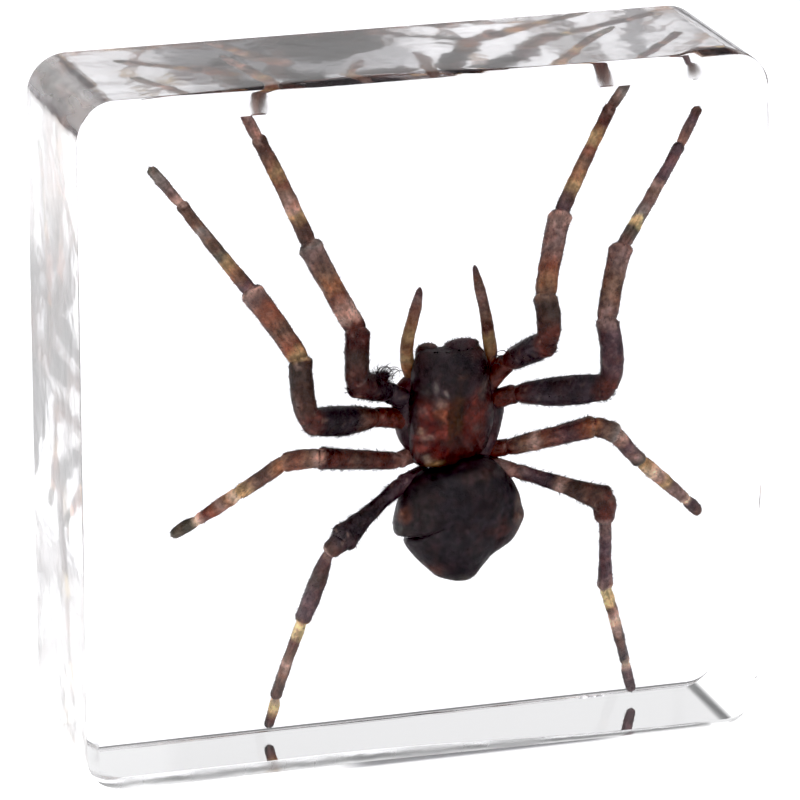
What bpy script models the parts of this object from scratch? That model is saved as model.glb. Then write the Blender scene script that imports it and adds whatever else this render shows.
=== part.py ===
"""A dried spider cast in a clear block of resin, at its real size.

The block stands on one of its narrow faces. +Z is up, the front face looks
along -Y, and the origin is the middle of the face that the block rests on.
The spider is one fused solid: it faces the front with its back and points its
head up. The resin is parted in two along a plane through the spider, and both
halves hold the spider's form as a pocket, cut a little oversize.
"""

import math
from dataclasses import dataclass

import bmesh
import bpy
from mathutils import Vector

MM = 0.001

# Driving dimensions of the block, in millimetres.
BLOCK_WIDTH = 75.0
BLOCK_HEIGHT = 75.0
BLOCK_DEPTH = 22.0
CORNER_RADIUS = 4.3
FRONT_EDGE_RADIUS = 1.0
FRONT_TOP_EDGE_RADIUS = 2.2
BACK_EDGE_RADIUS = 0.4
PARTING_DEPTH = 4.0
GAP = 0.3

# How finely the round shapes are divided.
CORNER_STEPS = 6
EDGE_STEPS = 3
TUBE_SIDES = 8

# Depth of the spider's layers behind the block's mid-plane, from its back to its belly, in millimetres.
CARAPACE_DEPTHS = (-0.6, 5.4)
HIP_PLATE_DEPTHS = (1.4, 6.8)
ABDOMEN_DEPTHS = (-1.4, 7.2)
CUSHION_FULLNESS = 0.8

# Where the rings of each leg segment sit, as fractions of its length.
SEGMENT_RINGS = {
    "coxa": (0.45,),
    "femur": (0.2, 0.55, 0.84),
    "patella": (0.3, 0.72),
    "tibia": (0.16, 0.52, 0.88),
    "metatarsus": (0.12, 0.88),
    "tarsus": (0.22, 0.75),
}
JOINT_NARROWING = 0.92
TIP_NARROWING = 0.62

# Widths of the segments at start, middle and end, in millimetres.
FIRST_LEG_WIDTHS = {
    "coxa": (2.6, 2.4, 2.2),
    "femur": (2.2, 3.0, 2.8),
    "patella": (2.7, 2.9, 2.8),
    "tibia": (2.5, 2.5, 2.7),
    "metatarsus": (1.8, 1.7, 1.55),
    "tarsus": (1.4, 1.3, 1.0),
}
SECOND_LEG_WIDTHS = {
    "coxa": (2.6, 2.4, 2.2),
    "femur": (2.5, 3.5, 3.0),
    "patella": (2.5, 2.6, 2.7),
    "tibia": (2.4, 2.5, 2.7),
    "metatarsus": (1.85, 1.65, 1.45),
    "tarsus": (1.15, 1.3, 1.1),
}
THIRD_LEG_WIDTHS = {
    "coxa": (2.3, 2.1, 1.9),
    "femur": (2.1, 2.3, 2.6),
    "patella": (2.3, 2.2, 2.2),
    "tibia": (1.85, 1.75, 1.65),
    "metatarsus": (1.6, 1.7, 1.3),
    "tarsus": (1.1, 1.45, 1.05),
}
LEFT_FOURTH_LEG_WIDTHS = {
    "coxa": (2.4, 2.2, 2.0),
    "femur": (2.0, 1.9, 3.4),
    "patella": (2.9, 2.4, 1.9),
    "tibia": (1.4, 2.0, 2.1),
    "metatarsus": (1.35, 1.3, 1.35),
    "tarsus": (1.05, 1.25, 1.0),
}
RIGHT_FOURTH_LEG_WIDTHS = {
    "coxa": (2.2, 2.0, 1.7),
    "femur": (1.8, 1.8, 3.2),
    "patella": (3.0, 2.6, 1.9),
    "tibia": (1.6, 1.5, 2.0),
    "metatarsus": (1.35, 1.3, 1.15),
    "tarsus": (1.0, 1.2, 1.0),
}


@dataclass
class Leg:
    """One leg: its joints from hip to tip as (x, y, z) in millimetres, and its widths."""

    name: str
    joints: tuple
    widths: dict


LEGS = (
    Leg("left_leg_1", ((1.8, 4.2, 37.0), (-2.2, 2.5, 38.9), (-6.6, -2.5, 41.1), (-6.2, -1.0, 46.7),
                       (-10.7, 2.5, 55.8), (-15.5, 6.5, 67.1), (-17.3, 7.8, 71.2)), FIRST_LEG_WIDTHS),
    Leg("left_leg_2", ((1.2, 4.4, 35.0), (-3.6, 2.5, 36.2), (-11.8, -2.5, 37.5), (-12.4, -1.0, 44.0),
                       (-17.1, 2.5, 51.3), (-23.9, 6.0, 60.7), (-26.9, 7.5, 64.5)), SECOND_LEG_WIDTHS),
    Leg("left_leg_3", ((1.6, 4.6, 31.6), (-0.9, 3.5, 30.9), (-10.0, 0.5, 32.7), (-13.7, 2.0, 32.3),
                       (-18.1, 5.0, 28.8), (-22.3, 7.0, 25.7), (-25.0, 7.8, 24.1)), THIRD_LEG_WIDTHS),
    Leg("left_leg_4", ((2.2, 4.6, 29.0), (-0.6, 3.0, 28.3), (-8.0, -1.5, 23.9), (-9.4, -0.9, 22.5),
                       (-11.5, 3.5, 14.1), (-14.0, 7.0, 4.8), (-14.6, 8.2, 1.2)), LEFT_FOURTH_LEG_WIDTHS),
    Leg("right_leg_1", ((8.0, 4.2, 37.6), (11.1, 2.5, 41.0), (14.6, -2.5, 43.7), (14.5, -1.0, 48.6),
                        (16.9, 2.5, 56.8), (23.3, 6.5, 67.4), (26.0, 7.3, 71.0)), FIRST_LEG_WIDTHS),
    Leg("right_leg_2", ((8.2, 4.4, 36.0), (12.0, 2.5, 37.4), (21.5, -2.5, 38.2), (21.4, -1.0, 45.3),
                        (23.6, 1.8, 52.7), (30.9, 5.6, 62.7), (33.1, 6.7, 66.4)), SECOND_LEG_WIDTHS),
    Leg("right_leg_3", ((8.4, 4.6, 31.0), (11.4, 3.5, 31.2), (20.2, 0.0, 33.4), (22.9, 0.5, 32.2),
                        (26.3, 3.0, 28.3), (32.1, 6.0, 22.8), (33.9, 6.8, 20.9)), THIRD_LEG_WIDTHS),
    Leg("right_leg_4", ((7.8, 4.6, 30.0), (12.1, 3.0, 28.6), (21.3, -2.0, 25.4), (21.4, -1.4, 22.9),
                        (22.3, 2.5, 14.6), (25.4, 5.5, 4.8), (26.4, 6.5, 1.2)), RIGHT_FOURTH_LEG_WIDTHS),
)

# The feeling limbs and jaws, and a tuft of bristles: points as (x, y, z) with a width, in millimetres.
FEELERS = {
    "left_palp": ((1.6, 4.4, 38.6, 1.6), (0.2, 3.6, 41.6, 1.6), (0.1, 3.0, 44.4, 1.5),
                  (0.6, 2.9, 46.4, 1.4), (1.1, 3.0, 48.2, 1.4), (1.5, 3.2, 49.8, 0.9)),
    "right_palp": ((8.2, 4.4, 38.2, 1.6), (9.3, 3.6, 40.8, 1.6), (9.0, 3.0, 44.6, 1.5),
                   (8.6, 2.9, 47.0, 1.3), (8.1, 3.0, 49.2, 1.3), (7.5, 3.2, 51.7, 0.8)),
    "left_jaw": ((2.6, 3.4, 39.5, 2.6), (2.4, 3.2, 41.8, 2.7), (2.3, 3.4, 43.2, 2.2),
                 (2.3, 3.6, 43.8, 1.2)),
    "right_jaw": ((5.9, 3.4, 39.5, 3.6), (6.1, 3.0, 41.8, 3.9), (6.1, 3.2, 43.1, 3.2),
                  (6.1, 3.4, 43.8, 1.8)),
    "left_tuft": ((-3.6, 1.0, 39.6, 1.6), (-3.0, 0.2, 41.4, 1.6), (-2.6, 0.0, 42.9, 0.9)),
}

# Outlines in the plane of the front face as (x, z), in millimetres.
HIP_PLATE_OUTLINE = ((-1.2, 38.4), (-1.5, 36.4), (-1.0, 34.0), (0.0, 32.0), (1.3, 30.2), (4.4, 29.5),
                     (8.5, 29.6), (9.9, 31.0), (10.6, 33.4), (11.0, 35.5), (10.5, 37.6), (9.2, 39.6),
                     (6.5, 41.0), (2.5, 41.0), (-0.2, 40.0))
CARAPACE_OUTLINE = ((0.9, 30.6), (0.2, 33.0), (0.0, 35.8), (0.4, 38.8), (0.6, 41.3), (1.8, 42.8),
                    (4.4, 43.0), (7.4, 42.8), (8.6, 41.3), (9.0, 38.8), (9.5, 35.8), (9.3, 33.0),
                    (8.3, 30.4), (4.6, 29.7))
ABDOMEN_OUTLINE = ((0.0, 28.4), (-1.0, 26.6), (-1.5, 24.2), (-1.3, 22.8), (0.1, 22.4), (-0.3, 21.7),
                   (1.4, 19.4), (3.4, 17.6), (5.6, 16.8), (7.4, 17.2), (9.3, 19.2), (11.7, 20.9),
                   (13.0, 23.2), (12.8, 24.9), (12.2, 26.9), (10.6, 28.8), (8.4, 30.0), (4.6, 30.4),
                   (1.8, 29.6))
CUSHION_LEVELS = (-0.96, -0.7, -0.25, 0.25, 0.7, 0.96)


def clear_scene():
    """Remove every object, so that the script starts from an empty scene."""
    for obj in list(bpy.data.objects):
        bpy.data.objects.remove(obj, do_unlink=True)


def make_material(name, colour, roughness, transmission=0.0, ior=1.5):
    """Return a Principled material with a linear colour."""
    material = bpy.data.materials.new(name)
    material.use_nodes = True
    shader = material.node_tree.nodes["Principled BSDF"]
    shader.inputs["Base Color"].default_value = (*colour, 1.0)
    shader.inputs["Roughness"].default_value = roughness
    shader.inputs["Metallic"].default_value = 0.0
    shader.inputs["Transmission Weight"].default_value = transmission
    shader.inputs["IOR"].default_value = ior
    return material


def loft(name, rings):
    """Make a closed object from rings of equal length, given in millimetres."""
    mesh = bpy.data.meshes.new(name)
    bm = bmesh.new()
    loops = [[bm.verts.new(Vector(point) * MM) for point in ring] for ring in rings]
    for lower, upper in zip(loops, loops[1:]):
        for i in range(len(lower)):
            j = (i + 1) % len(lower)
            bm.faces.new((lower[i], lower[j], upper[j], upper[i]))
    bm.faces.new(reversed(loops[0]))
    bm.faces.new(loops[-1])
    bmesh.ops.recalc_face_normals(bm, faces=bm.faces)
    bm.to_mesh(mesh)
    bm.free()
    mesh.shade_smooth()
    obj = bpy.data.objects.new(name, mesh)
    bpy.context.collection.objects.link(obj)
    return obj


def outline_point(angle_step, inset):
    """Return a point of the block's outline and its outward direction, pulled in by an inset."""
    corner, step = divmod(angle_step, CORNER_STEPS + 1)
    angle = math.radians(90.0 * (corner + step / CORNER_STEPS))
    across, up = math.cos(angle), math.sin(angle)
    centre_x = (BLOCK_WIDTH / 2 - CORNER_RADIUS) * (1 if corner in (0, 3) else -1)
    centre_z = BLOCK_HEIGHT / 2 + (BLOCK_HEIGHT / 2 - CORNER_RADIUS) * (1 if corner in (0, 1) else -1)
    radius = CORNER_RADIUS - inset
    return centre_x + radius * across, centre_z + radius * up, up


def block_ring(face_depth, inward, turn, edge_radius, top_edge_radius):
    """Return one ring of the block's skin.

    turn runs from 0, on the face's rim, to 1, on the side; inward is the way
    from the face into the block along Y; the edge is rounder along the top.
    """
    ring = []
    for step in range(4 * (CORNER_STEPS + 1)):
        up = outline_point(step, 0.0)[2]
        radius = edge_radius + (top_edge_radius - edge_radius) * max(up, 0.0) ** 2
        slope = math.radians(90.0 * turn)
        x, z, _ = outline_point(step, radius * (1.0 - math.sin(slope)))
        ring.append((x, face_depth + inward * radius * (1.0 - math.cos(slope)), z))
    return ring


def resin_half(name, face_depth, inward, edge_radius, top_edge_radius, parting_depth):
    """Make one half of the block, from its big outer face to the parting plane."""
    turns = [step / EDGE_STEPS for step in range(EDGE_STEPS + 1)]
    rings = [block_ring(face_depth, inward, turn, edge_radius, top_edge_radius) for turn in turns]
    side = [(x, parting_depth, z) for x, _, z in rings[-1]]
    return loft(name, rings + [side])


def ring_around(centre, along, radius):
    """Return a ring of points around a centre, square to a direction."""
    side = along.cross(Vector((0.0, 1.0, 0.0))).normalized()
    out = side.cross(along).normalized()
    angles = [2.0 * math.pi * (i + 0.5) / TUBE_SIDES for i in range(TUBE_SIDES)]
    return [centre + (side * math.cos(a) + out * math.sin(a)) * radius for a in angles]


def tube(name, stations, grow):
    """Make a tapering tube through (point, width) stations, fattened all over by grow."""
    points = [Vector(point) for point, _ in stations]
    widths = [width for _, width in stations]
    first = (points[1] - points[0]).normalized()
    last = (points[-1] - points[-2]).normalized()
    points[0] = points[0] - first * grow
    points[-1] = points[-1] + last * grow
    rings = []
    for i, point in enumerate(points):
        before = (point - points[i - 1]).normalized() if i else first
        after = (points[i + 1] - point).normalized() if i + 1 < len(points) else last
        rings.append(ring_around(point, (before + after).normalized(), widths[i] / 2 + grow))
    return loft(name, rings)


def width_at(widths, fraction):
    """Return a segment's width from its start, middle and end widths."""
    start, middle, end = widths
    if fraction < 0.5:
        return start + (middle - start) * fraction * 2
    return middle + (end - middle) * (fraction - 0.5) * 2


def leg_stations(leg):
    """Return the (point, width) stations of a leg, from inside the body to its tip."""
    joints = [Vector(joint) for joint in leg.joints]
    stations = [(joints[0], leg.widths["coxa"][0])]
    names = list(SEGMENT_RINGS)
    for i, segment in enumerate(names):
        widths = leg.widths[segment]
        for fraction in SEGMENT_RINGS[segment]:
            point = joints[i].lerp(joints[i + 1], fraction)
            stations.append((point, width_at(widths, fraction)))
        if segment == names[-1]:
            stations.append((joints[i + 1], widths[2] * TIP_NARROWING))
        else:
            joint_width = (widths[2] + leg.widths[names[i + 1]][0]) / 2
            stations.append((joints[i + 1], joint_width * JOINT_NARROWING))
    return stations


def cushion(name, outline, depths, grow):
    """Make a swollen body from an outline, fullest halfway between two depths."""
    top_depth, bottom_depth = depths
    centre_x = sum(x for x, _ in outline) / len(outline)
    centre_z = sum(z for _, z in outline) / len(outline)
    middle = (top_depth + bottom_depth) / 2
    half = (bottom_depth - top_depth) / 2 + grow
    rings = []
    for level in CUSHION_LEVELS:
        swell = math.sqrt(1.0 - level * level) ** CUSHION_FULLNESS
        ring = []
        for x, z in outline:
            reach = math.hypot(x - centre_x, z - centre_z)
            scale = swell * (reach + grow) / reach
            ring.append((centre_x + (x - centre_x) * scale, middle + half * level,
                         centre_z + (z - centre_z) * scale))
        rings.append(ring)
    return loft(name, rings)


def spider_pieces(prefix, grow):
    """Make every form of the spider, overlapping where they grow together."""
    pieces = [
        cushion(prefix + "carapace", CARAPACE_OUTLINE, CARAPACE_DEPTHS, grow),
        cushion(prefix + "hip_plate", HIP_PLATE_OUTLINE, HIP_PLATE_DEPTHS, grow),
        cushion(prefix + "abdomen", ABDOMEN_OUTLINE, ABDOMEN_DEPTHS, grow),
    ]
    for name, points in FEELERS.items():
        stations = [((x, y, z), width) for x, y, z, width in points]
        pieces.append(tube(prefix + name, stations, grow))
    for leg in LEGS:
        pieces.append(tube(prefix + leg.name, leg_stations(leg), grow))
    return pieces


def put_aside(name, pieces):
    """Move pieces that only shape others into a collection of their own."""
    collection = bpy.data.collections.new(name)
    bpy.context.scene.collection.children.link(collection)
    for piece in pieces:
        for owner in list(piece.users_collection):
            owner.objects.unlink(piece)
        collection.objects.link(piece)
        piece.hide_render = True
        piece.display_type = "WIRE"
    return collection


def combine(obj, operation, collection):
    """Join a collection's pieces to an object, or cut them from it."""
    modifier = obj.modifiers.new(operation.title(), "BOOLEAN")
    modifier.operation = operation
    modifier.operand_type = "COLLECTION"
    modifier.collection = collection
    modifier.solver = "EXACT"


def main():
    """Build the spider and the two halves of the block around it."""
    clear_scene()
    cuticle = make_material("dried_cuticle", (0.045, 0.026, 0.020), 0.55)
    resin = make_material("clear_casting_resin", (0.98, 0.985, 0.985), 0.03, transmission=1.0, ior=1.5)

    pieces = spider_pieces("form_", 0.0)
    spider = pieces[0]
    spider.name = "spider"
    spider.data.materials.append(cuticle)
    combine(spider, "UNION", put_aside("spider_forms", pieces[1:]))

    pocket = put_aside("pocket_forms", spider_pieces("pocket_", GAP))
    front = resin_half("resin_front", -BLOCK_DEPTH / 2, 1.0, FRONT_EDGE_RADIUS, FRONT_TOP_EDGE_RADIUS,
                       PARTING_DEPTH - GAP / 2)
    back = resin_half("resin_back", BLOCK_DEPTH / 2, -1.0, BACK_EDGE_RADIUS, BACK_EDGE_RADIUS,
                      PARTING_DEPTH + GAP / 2)
    for half in (front, back):
        half.data.materials.append(resin)
        combine(half, "DIFFERENCE", pocket)


main()
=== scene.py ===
"""A dried spider cast in a clear block of resin, dressed for its picture.

+Z is up, the block's big front face looks along -Y, and the origin is the middle of the
narrow face that the block rests on. One clear slab takes the place of the two resin
halves. A finely modelled spider, its eyes and its bristles take the place of the plain
spider, joint for joint. Sizes and places are in millimetres unless a name says otherwise.
"""

import logging
import math
from dataclasses import dataclass, field
from enum import Enum
from functools import cached_property

import bmesh
import bpy
import numpy as np
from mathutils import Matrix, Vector, noise


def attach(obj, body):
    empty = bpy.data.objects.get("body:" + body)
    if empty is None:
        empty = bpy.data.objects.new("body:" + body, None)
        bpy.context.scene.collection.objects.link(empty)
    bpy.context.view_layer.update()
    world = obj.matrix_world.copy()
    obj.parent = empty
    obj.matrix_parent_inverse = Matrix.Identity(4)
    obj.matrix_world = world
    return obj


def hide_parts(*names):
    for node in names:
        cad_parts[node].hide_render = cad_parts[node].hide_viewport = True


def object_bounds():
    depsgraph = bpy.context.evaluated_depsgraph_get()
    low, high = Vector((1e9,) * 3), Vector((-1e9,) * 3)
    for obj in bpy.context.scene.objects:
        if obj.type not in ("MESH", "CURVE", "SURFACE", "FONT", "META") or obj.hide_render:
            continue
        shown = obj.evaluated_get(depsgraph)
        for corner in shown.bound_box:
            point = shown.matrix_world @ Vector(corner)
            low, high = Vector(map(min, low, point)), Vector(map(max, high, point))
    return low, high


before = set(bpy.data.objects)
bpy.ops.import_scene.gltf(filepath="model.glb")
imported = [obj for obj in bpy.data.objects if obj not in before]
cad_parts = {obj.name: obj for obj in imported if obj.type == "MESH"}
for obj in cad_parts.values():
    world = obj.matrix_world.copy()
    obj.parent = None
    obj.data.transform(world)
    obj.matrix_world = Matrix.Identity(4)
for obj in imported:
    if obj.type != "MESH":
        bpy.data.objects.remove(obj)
CAD_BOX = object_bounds()

MM = 0.001

# The block's own size, as the frame gives it.
BLOCK_WIDTH, BLOCK_DEPTH, BLOCK_HEIGHT = (round((high - low) / MM, 2) for low, high in zip(*CAD_BOX))

ROOT_BODY = "root"

FORWARD = (0.0, -1.0, 0.0)
BACKWARD = (0.0, 1.0, 0.0)

# The attributes that carry a mesh's colour and haze to its material.
PIGMENT = "pigment"
HAZE = "haze"

# A Mix node has sockets for numbers, vectors and colours under the same names, so they are counted.
MIX_NUMBERS = (2, 3)
MIX_COLOURS = (6, 7)
MIX_COLOUR_RESULT = 2

LOG = logging.getLogger("spider_block")

Point = tuple[float, float, float]
Pair = tuple[float, float]
Colour = tuple[float, float, float]
Inputs = dict[str | int, object]
Turns = tuple[Pair, ...]


# --------------------------------------------------------------------------- helpers


def linear(hex_colour: str) -> Colour:
    """Turn an sRGB hex colour into linear light.

    Args:
        hex_colour: six hexadecimal digits, such as "c8b078".

    Returns:
        Linear red, green and blue.
    """
    channels = [int(hex_colour[i : i + 2], 16) / 255.0 for i in (0, 2, 4)]
    return tuple(c / 12.92 if c <= 0.04045 else ((c + 0.055) / 1.055) ** 2.4 for c in channels)


def add_node(tree: bpy.types.NodeTree, kind: str, inputs: Inputs | None = None,
             **settings: object) -> bpy.types.Node:
    """Add a node with its settings, and set or link its inputs.

    Args:
        tree: the node tree that gets the node.
        kind: the node's type, such as "ShaderNodeTexNoise".
        inputs: for each input's name or number, a value or the socket that feeds it.
        settings: the node's own settings by name.

    Returns:
        The new node.
    """
    node = tree.nodes.new(kind)
    for name, value in settings.items():
        setattr(node, name, value)
    for key, value in (inputs or {}).items():
        if isinstance(value, bpy.types.NodeSocket):
            tree.links.new(value, node.inputs[key])
        else:
            node.inputs[key].default_value = value
    return node


def spans(source: Pair, result: Pair = (0.0, 1.0)) -> Inputs:
    """Return the inputs of a Map Range node that takes the source span to the result span."""
    return {"From Min": source[0], "From Max": source[1], "To Min": result[0], "To Max": result[1]}


def new_material(name: str) -> tuple[bpy.types.Material, bpy.types.NodeTree, bpy.types.Node]:
    """Make an empty node material.

    Args:
        name: the material's name.

    Returns:
        The material, its tree and its output node.
    """
    material = bpy.data.materials.new(name)
    material.use_nodes = True
    tree = material.node_tree
    tree.nodes.clear()
    return material, tree, add_node(tree, "ShaderNodeOutputMaterial")


def place_object(name: str, mesh: bpy.types.Mesh) -> bpy.types.Object:
    """Put a mesh into the scene.

    Args:
        name: the new object's name.
        mesh: its mesh.

    Returns:
        The object, at the origin.
    """
    piece = bpy.data.objects.new(name, mesh)
    bpy.context.scene.collection.objects.link(piece)
    return piece


def per_metre(size_mm: float) -> float:
    """Return the texture scale that repeats a pattern every size_mm millimetres."""
    return 1.0 / (size_mm * MM)


def ramp(value: np.ndarray, low: float, high: float) -> np.ndarray:
    """Return a smooth step from 0 at low to 1 at high, which may be the lower of the two."""
    t = np.clip((value - low) / (high - low), 0.0, 1.0)
    return t * t * (3.0 - 2.0 * t)


def roughen(points: np.ndarray, grain: float, offset: float) -> np.ndarray:
    """Return smooth noise, about -1 to 1, at points in millimetres.

    Args:
        points: an array of shape (..., 3).
        grain: the size of the noise's lumps.
        offset: moves the pattern, so that two uses differ.

    Returns:
        An array of the points' shape without its last axis.
    """
    flat = points.reshape(-1, 3) / grain + offset
    values = [noise.noise(Vector(point)) for point in flat.tolist()]
    return np.array(values).reshape(points.shape[:-1])


@dataclass(frozen=True)
class Grain:
    """Smooth noise of one strength and one size, moved by offset to differ from other noise."""

    strength: float
    size_mm: float
    offset: float

    def at(self, points: np.ndarray) -> np.ndarray:
        """Return the noise at points in millimetres."""
        return self.strength * roughen(points, self.size_mm, self.offset)


def unit(vectors: np.ndarray) -> np.ndarray:
    """Return vectors scaled to length 1."""
    return vectors / np.maximum(np.linalg.norm(vectors, axis=-1, keepdims=True), 1e-9)


def spokes(front: np.ndarray, side: np.ndarray, count: int) -> tuple[np.ndarray, np.ndarray]:
    """Spread directions evenly round a limb.

    Args:
        front: the direction at angle 0, for each place along the limb.
        side: the direction a quarter of a turn on, for each place along the limb.
        count: how many directions each place gets.

    Returns:
        The directions, with one more axis than front has, and their angles.
    """
    angle = np.linspace(0.0, 2.0 * math.pi, count, endpoint=False)
    turned = angle[:, None]
    return front[..., None, :] * np.cos(turned) + side[..., None, :] * np.sin(turned), angle


def rounding(ends: np.ndarray, reach: np.ndarray | float) -> np.ndarray:
    """Return what share of its radius a rounded tip has at each distance from its end."""
    return np.sqrt(np.clip(1.0 - np.clip(1.0 - ends / reach, 0.0, 1.0) ** 2, 1e-4, 1.0))


# --------------------------------------------------------------------------- colours


class Tint(Enum):
    """The colours of the dried spider, as sRGB hex."""

    PITCH = "2d262a"
    SOOT = "30282b"
    COAL = "3a3034"
    BISTRE = "463832"
    UMBER = "5b443c"
    BARK = "765a4c"
    MAUVE = "856a64"
    PLUM = "5a4549"
    OXBLOOD = "42201c"
    MAROON = "58312a"
    RUSSET = "80503f"
    CHESTNUT = "94694e"
    TAN = "ae8d66"
    STRAW = "d0b988"
    ROSE = "ae8c80"
    SHELL = "dcbfa6"
    OLIVE = "504a40"
    SMOKE = "857973"
    EMBER = "5e180f"
    SEPIA = "3c2811"
    BRICK = "7a3a30"
    AMBER = "98624c"

    @property
    def rgb(self) -> np.ndarray:
        """The colour as linear light."""
        return np.array(linear(self.value))


# --------------------------------------------------------------------------- finishes


@dataclass(frozen=True)
class PolishedResin:
    """Unsaturated polyester casting resin, cast clear in a mould and polished by hand.

    The eye sees straight through the big faces. The rounded edges and the narrow top and side
    faces were polished less: sanding waves and haze break up what shows through them.
    """

    name: str = "clear_casting_resin"
    colour: str = "fdfdfe"
    ior: float = 1.5
    full_haze: float = 0.25
    wave_mm: float = 14.0
    wave_height_mm: float = 0.004
    sanding_mm: float = 5.0
    sanding_height_mm: float = 0.3
    depth_colour: str = "d2d0dc"
    depth_density: float = 1.5

    def material(self) -> bpy.types.Material:
        """Make the clear material, which reads how hazy each place is from the mesh.

        Returns:
            The material.
        """
        material, tree, output = new_material(self.name)
        place = add_node(tree, "ShaderNodeTexCoord").outputs["Object"]
        hazy = add_node(tree, "ShaderNodeAttribute", attribute_name=HAZE).outputs["Fac"]
        waves = add_node(tree, "ShaderNodeTexNoise", {
            "Vector": place, "Scale": per_metre(self.wave_mm), "Detail": 1.0})
        bump = add_node(tree, "ShaderNodeBump", {
            "Height": waves.outputs["Fac"], "Strength": 1.0, "Distance": self.wave_height_mm * MM})
        sanding = add_node(tree, "ShaderNodeTexNoise", {
            "Vector": place, "Scale": per_metre(self.sanding_mm), "Detail": 2.0})
        sanded = add_node(tree, "ShaderNodeBump", {
            "Height": sanding.outputs["Fac"], "Strength": hazy,
            "Distance": self.sanding_height_mm * MM, "Normal": bump.outputs["Normal"]})
        rough = add_node(tree, "ShaderNodeMath", {0: hazy, 1: self.full_haze}, operation="MULTIPLY")
        shader = add_node(tree, "ShaderNodeBsdfPrincipled", {
            "Base Color": (*linear(self.colour), 1.0), "Roughness": rough.outputs[0], "IOR": self.ior,
            "Transmission Weight": 1.0, "Normal": sanded.outputs["Normal"]})
        depth = add_node(tree, "ShaderNodeVolumeAbsorption", {
            "Color": (*linear(self.depth_colour), 1.0), "Density": self.depth_density})
        tree.links.new(shader.outputs["BSDF"], output.inputs["Surface"])
        tree.links.new(depth.outputs["Volume"], output.inputs["Volume"])
        return material


@dataclass(frozen=True)
class DriedCuticle:
    """Chitin cuticle of a spider, dried in air and then soaked with resin.

    Drying leaves fine wrinkles, dark and pale blotches and a rusty stain here and there over
    the pigment bands, with a dull shine that comes and goes with the wrinkles. The shine is
    weaker than in air, because the resin round the cuticle bends light nearly as much.
    """

    name: str = "dried_chitin_cuticle"
    blotch_mm: float = 1.2
    blotch_shades: Pair = (0.72, 1.34)
    speck_mm: float = 0.45
    speck_shades: Pair = (0.84, 1.18)
    spot_window: Pair = (0.36, 0.66)
    rust_mm: float = 1.7
    rust: Colour = (1.14, 0.92, 0.84)
    rust_window: Pair = (0.45, 0.65)
    # Real wrinkles are a few hundredths of a millimetre apart. These are coarser, so that they show.
    wrinkle_mm: float = 0.45
    wrinkle_height_mm: float = 0.07
    wrinkle_strength: float = 0.8
    wrinkle_window: Pair = (0.35, 0.65)
    roughness: Pair = (0.3, 0.6)
    ior: float = 1.42

    def material(self) -> bpy.types.Material:
        """Make the cuticle material, which reads the pigment of each point of the mesh.

        Returns:
            The material.
        """
        material, tree, output = new_material(self.name)
        place = add_node(tree, "ShaderNodeTexCoord").outputs["Object"]
        colour = add_node(tree, "ShaderNodeAttribute", attribute_name=PIGMENT).outputs["Color"]
        for size_mm, shades in ((self.blotch_mm, self.blotch_shades), (self.speck_mm, self.speck_shades)):
            spots = add_node(tree, "ShaderNodeTexNoise", {
                "Vector": place, "Scale": per_metre(size_mm), "Detail": 2.0, "Roughness": 0.6})
            shade = add_node(tree, "ShaderNodeMapRange", {
                "Value": spots.outputs["Fac"], **spans(self.spot_window, shades)},
                interpolation_type="SMOOTHSTEP")
            colour = add_node(tree, "ShaderNodeVectorMath", {
                0: colour, 1: shade.outputs["Result"]}, operation="MULTIPLY").outputs["Vector"]
        stains = add_node(tree, "ShaderNodeTexNoise", {
            "Vector": place, "Scale": per_metre(self.rust_mm), "Detail": 3.0})
        rusty = add_node(tree, "ShaderNodeMapRange", {
            "Value": stains.outputs["Fac"], **spans(self.rust_window)})
        stained = add_node(tree, "ShaderNodeVectorMath", {0: colour, 1: self.rust}, operation="MULTIPLY")
        plain, full = MIX_COLOURS
        mixed = add_node(tree, "ShaderNodeMix", {
            "Factor": rusty.outputs["Result"], plain: colour, full: stained.outputs["Vector"]},
            data_type="RGBA")
        wrinkles = add_node(tree, "ShaderNodeTexNoise", {
            "Vector": place, "Scale": per_metre(self.wrinkle_mm), "Detail": 3.0, "Roughness": 0.6})
        bump = add_node(tree, "ShaderNodeBump", {
            "Height": wrinkles.outputs["Fac"], "Strength": self.wrinkle_strength,
            "Distance": self.wrinkle_height_mm * MM})
        dull = add_node(tree, "ShaderNodeMapRange", {
            "Value": wrinkles.outputs["Fac"], **spans(self.wrinkle_window, self.roughness)})
        shader = add_node(tree, "ShaderNodeBsdfPrincipled", {
            "Base Color": mixed.outputs[MIX_COLOUR_RESULT], "Roughness": dull.outputs["Result"],
            "IOR": self.ior, "Normal": bump.outputs["Normal"]})
        tree.links.new(shader.outputs["BSDF"], output.inputs["Surface"])
        return material


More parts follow.
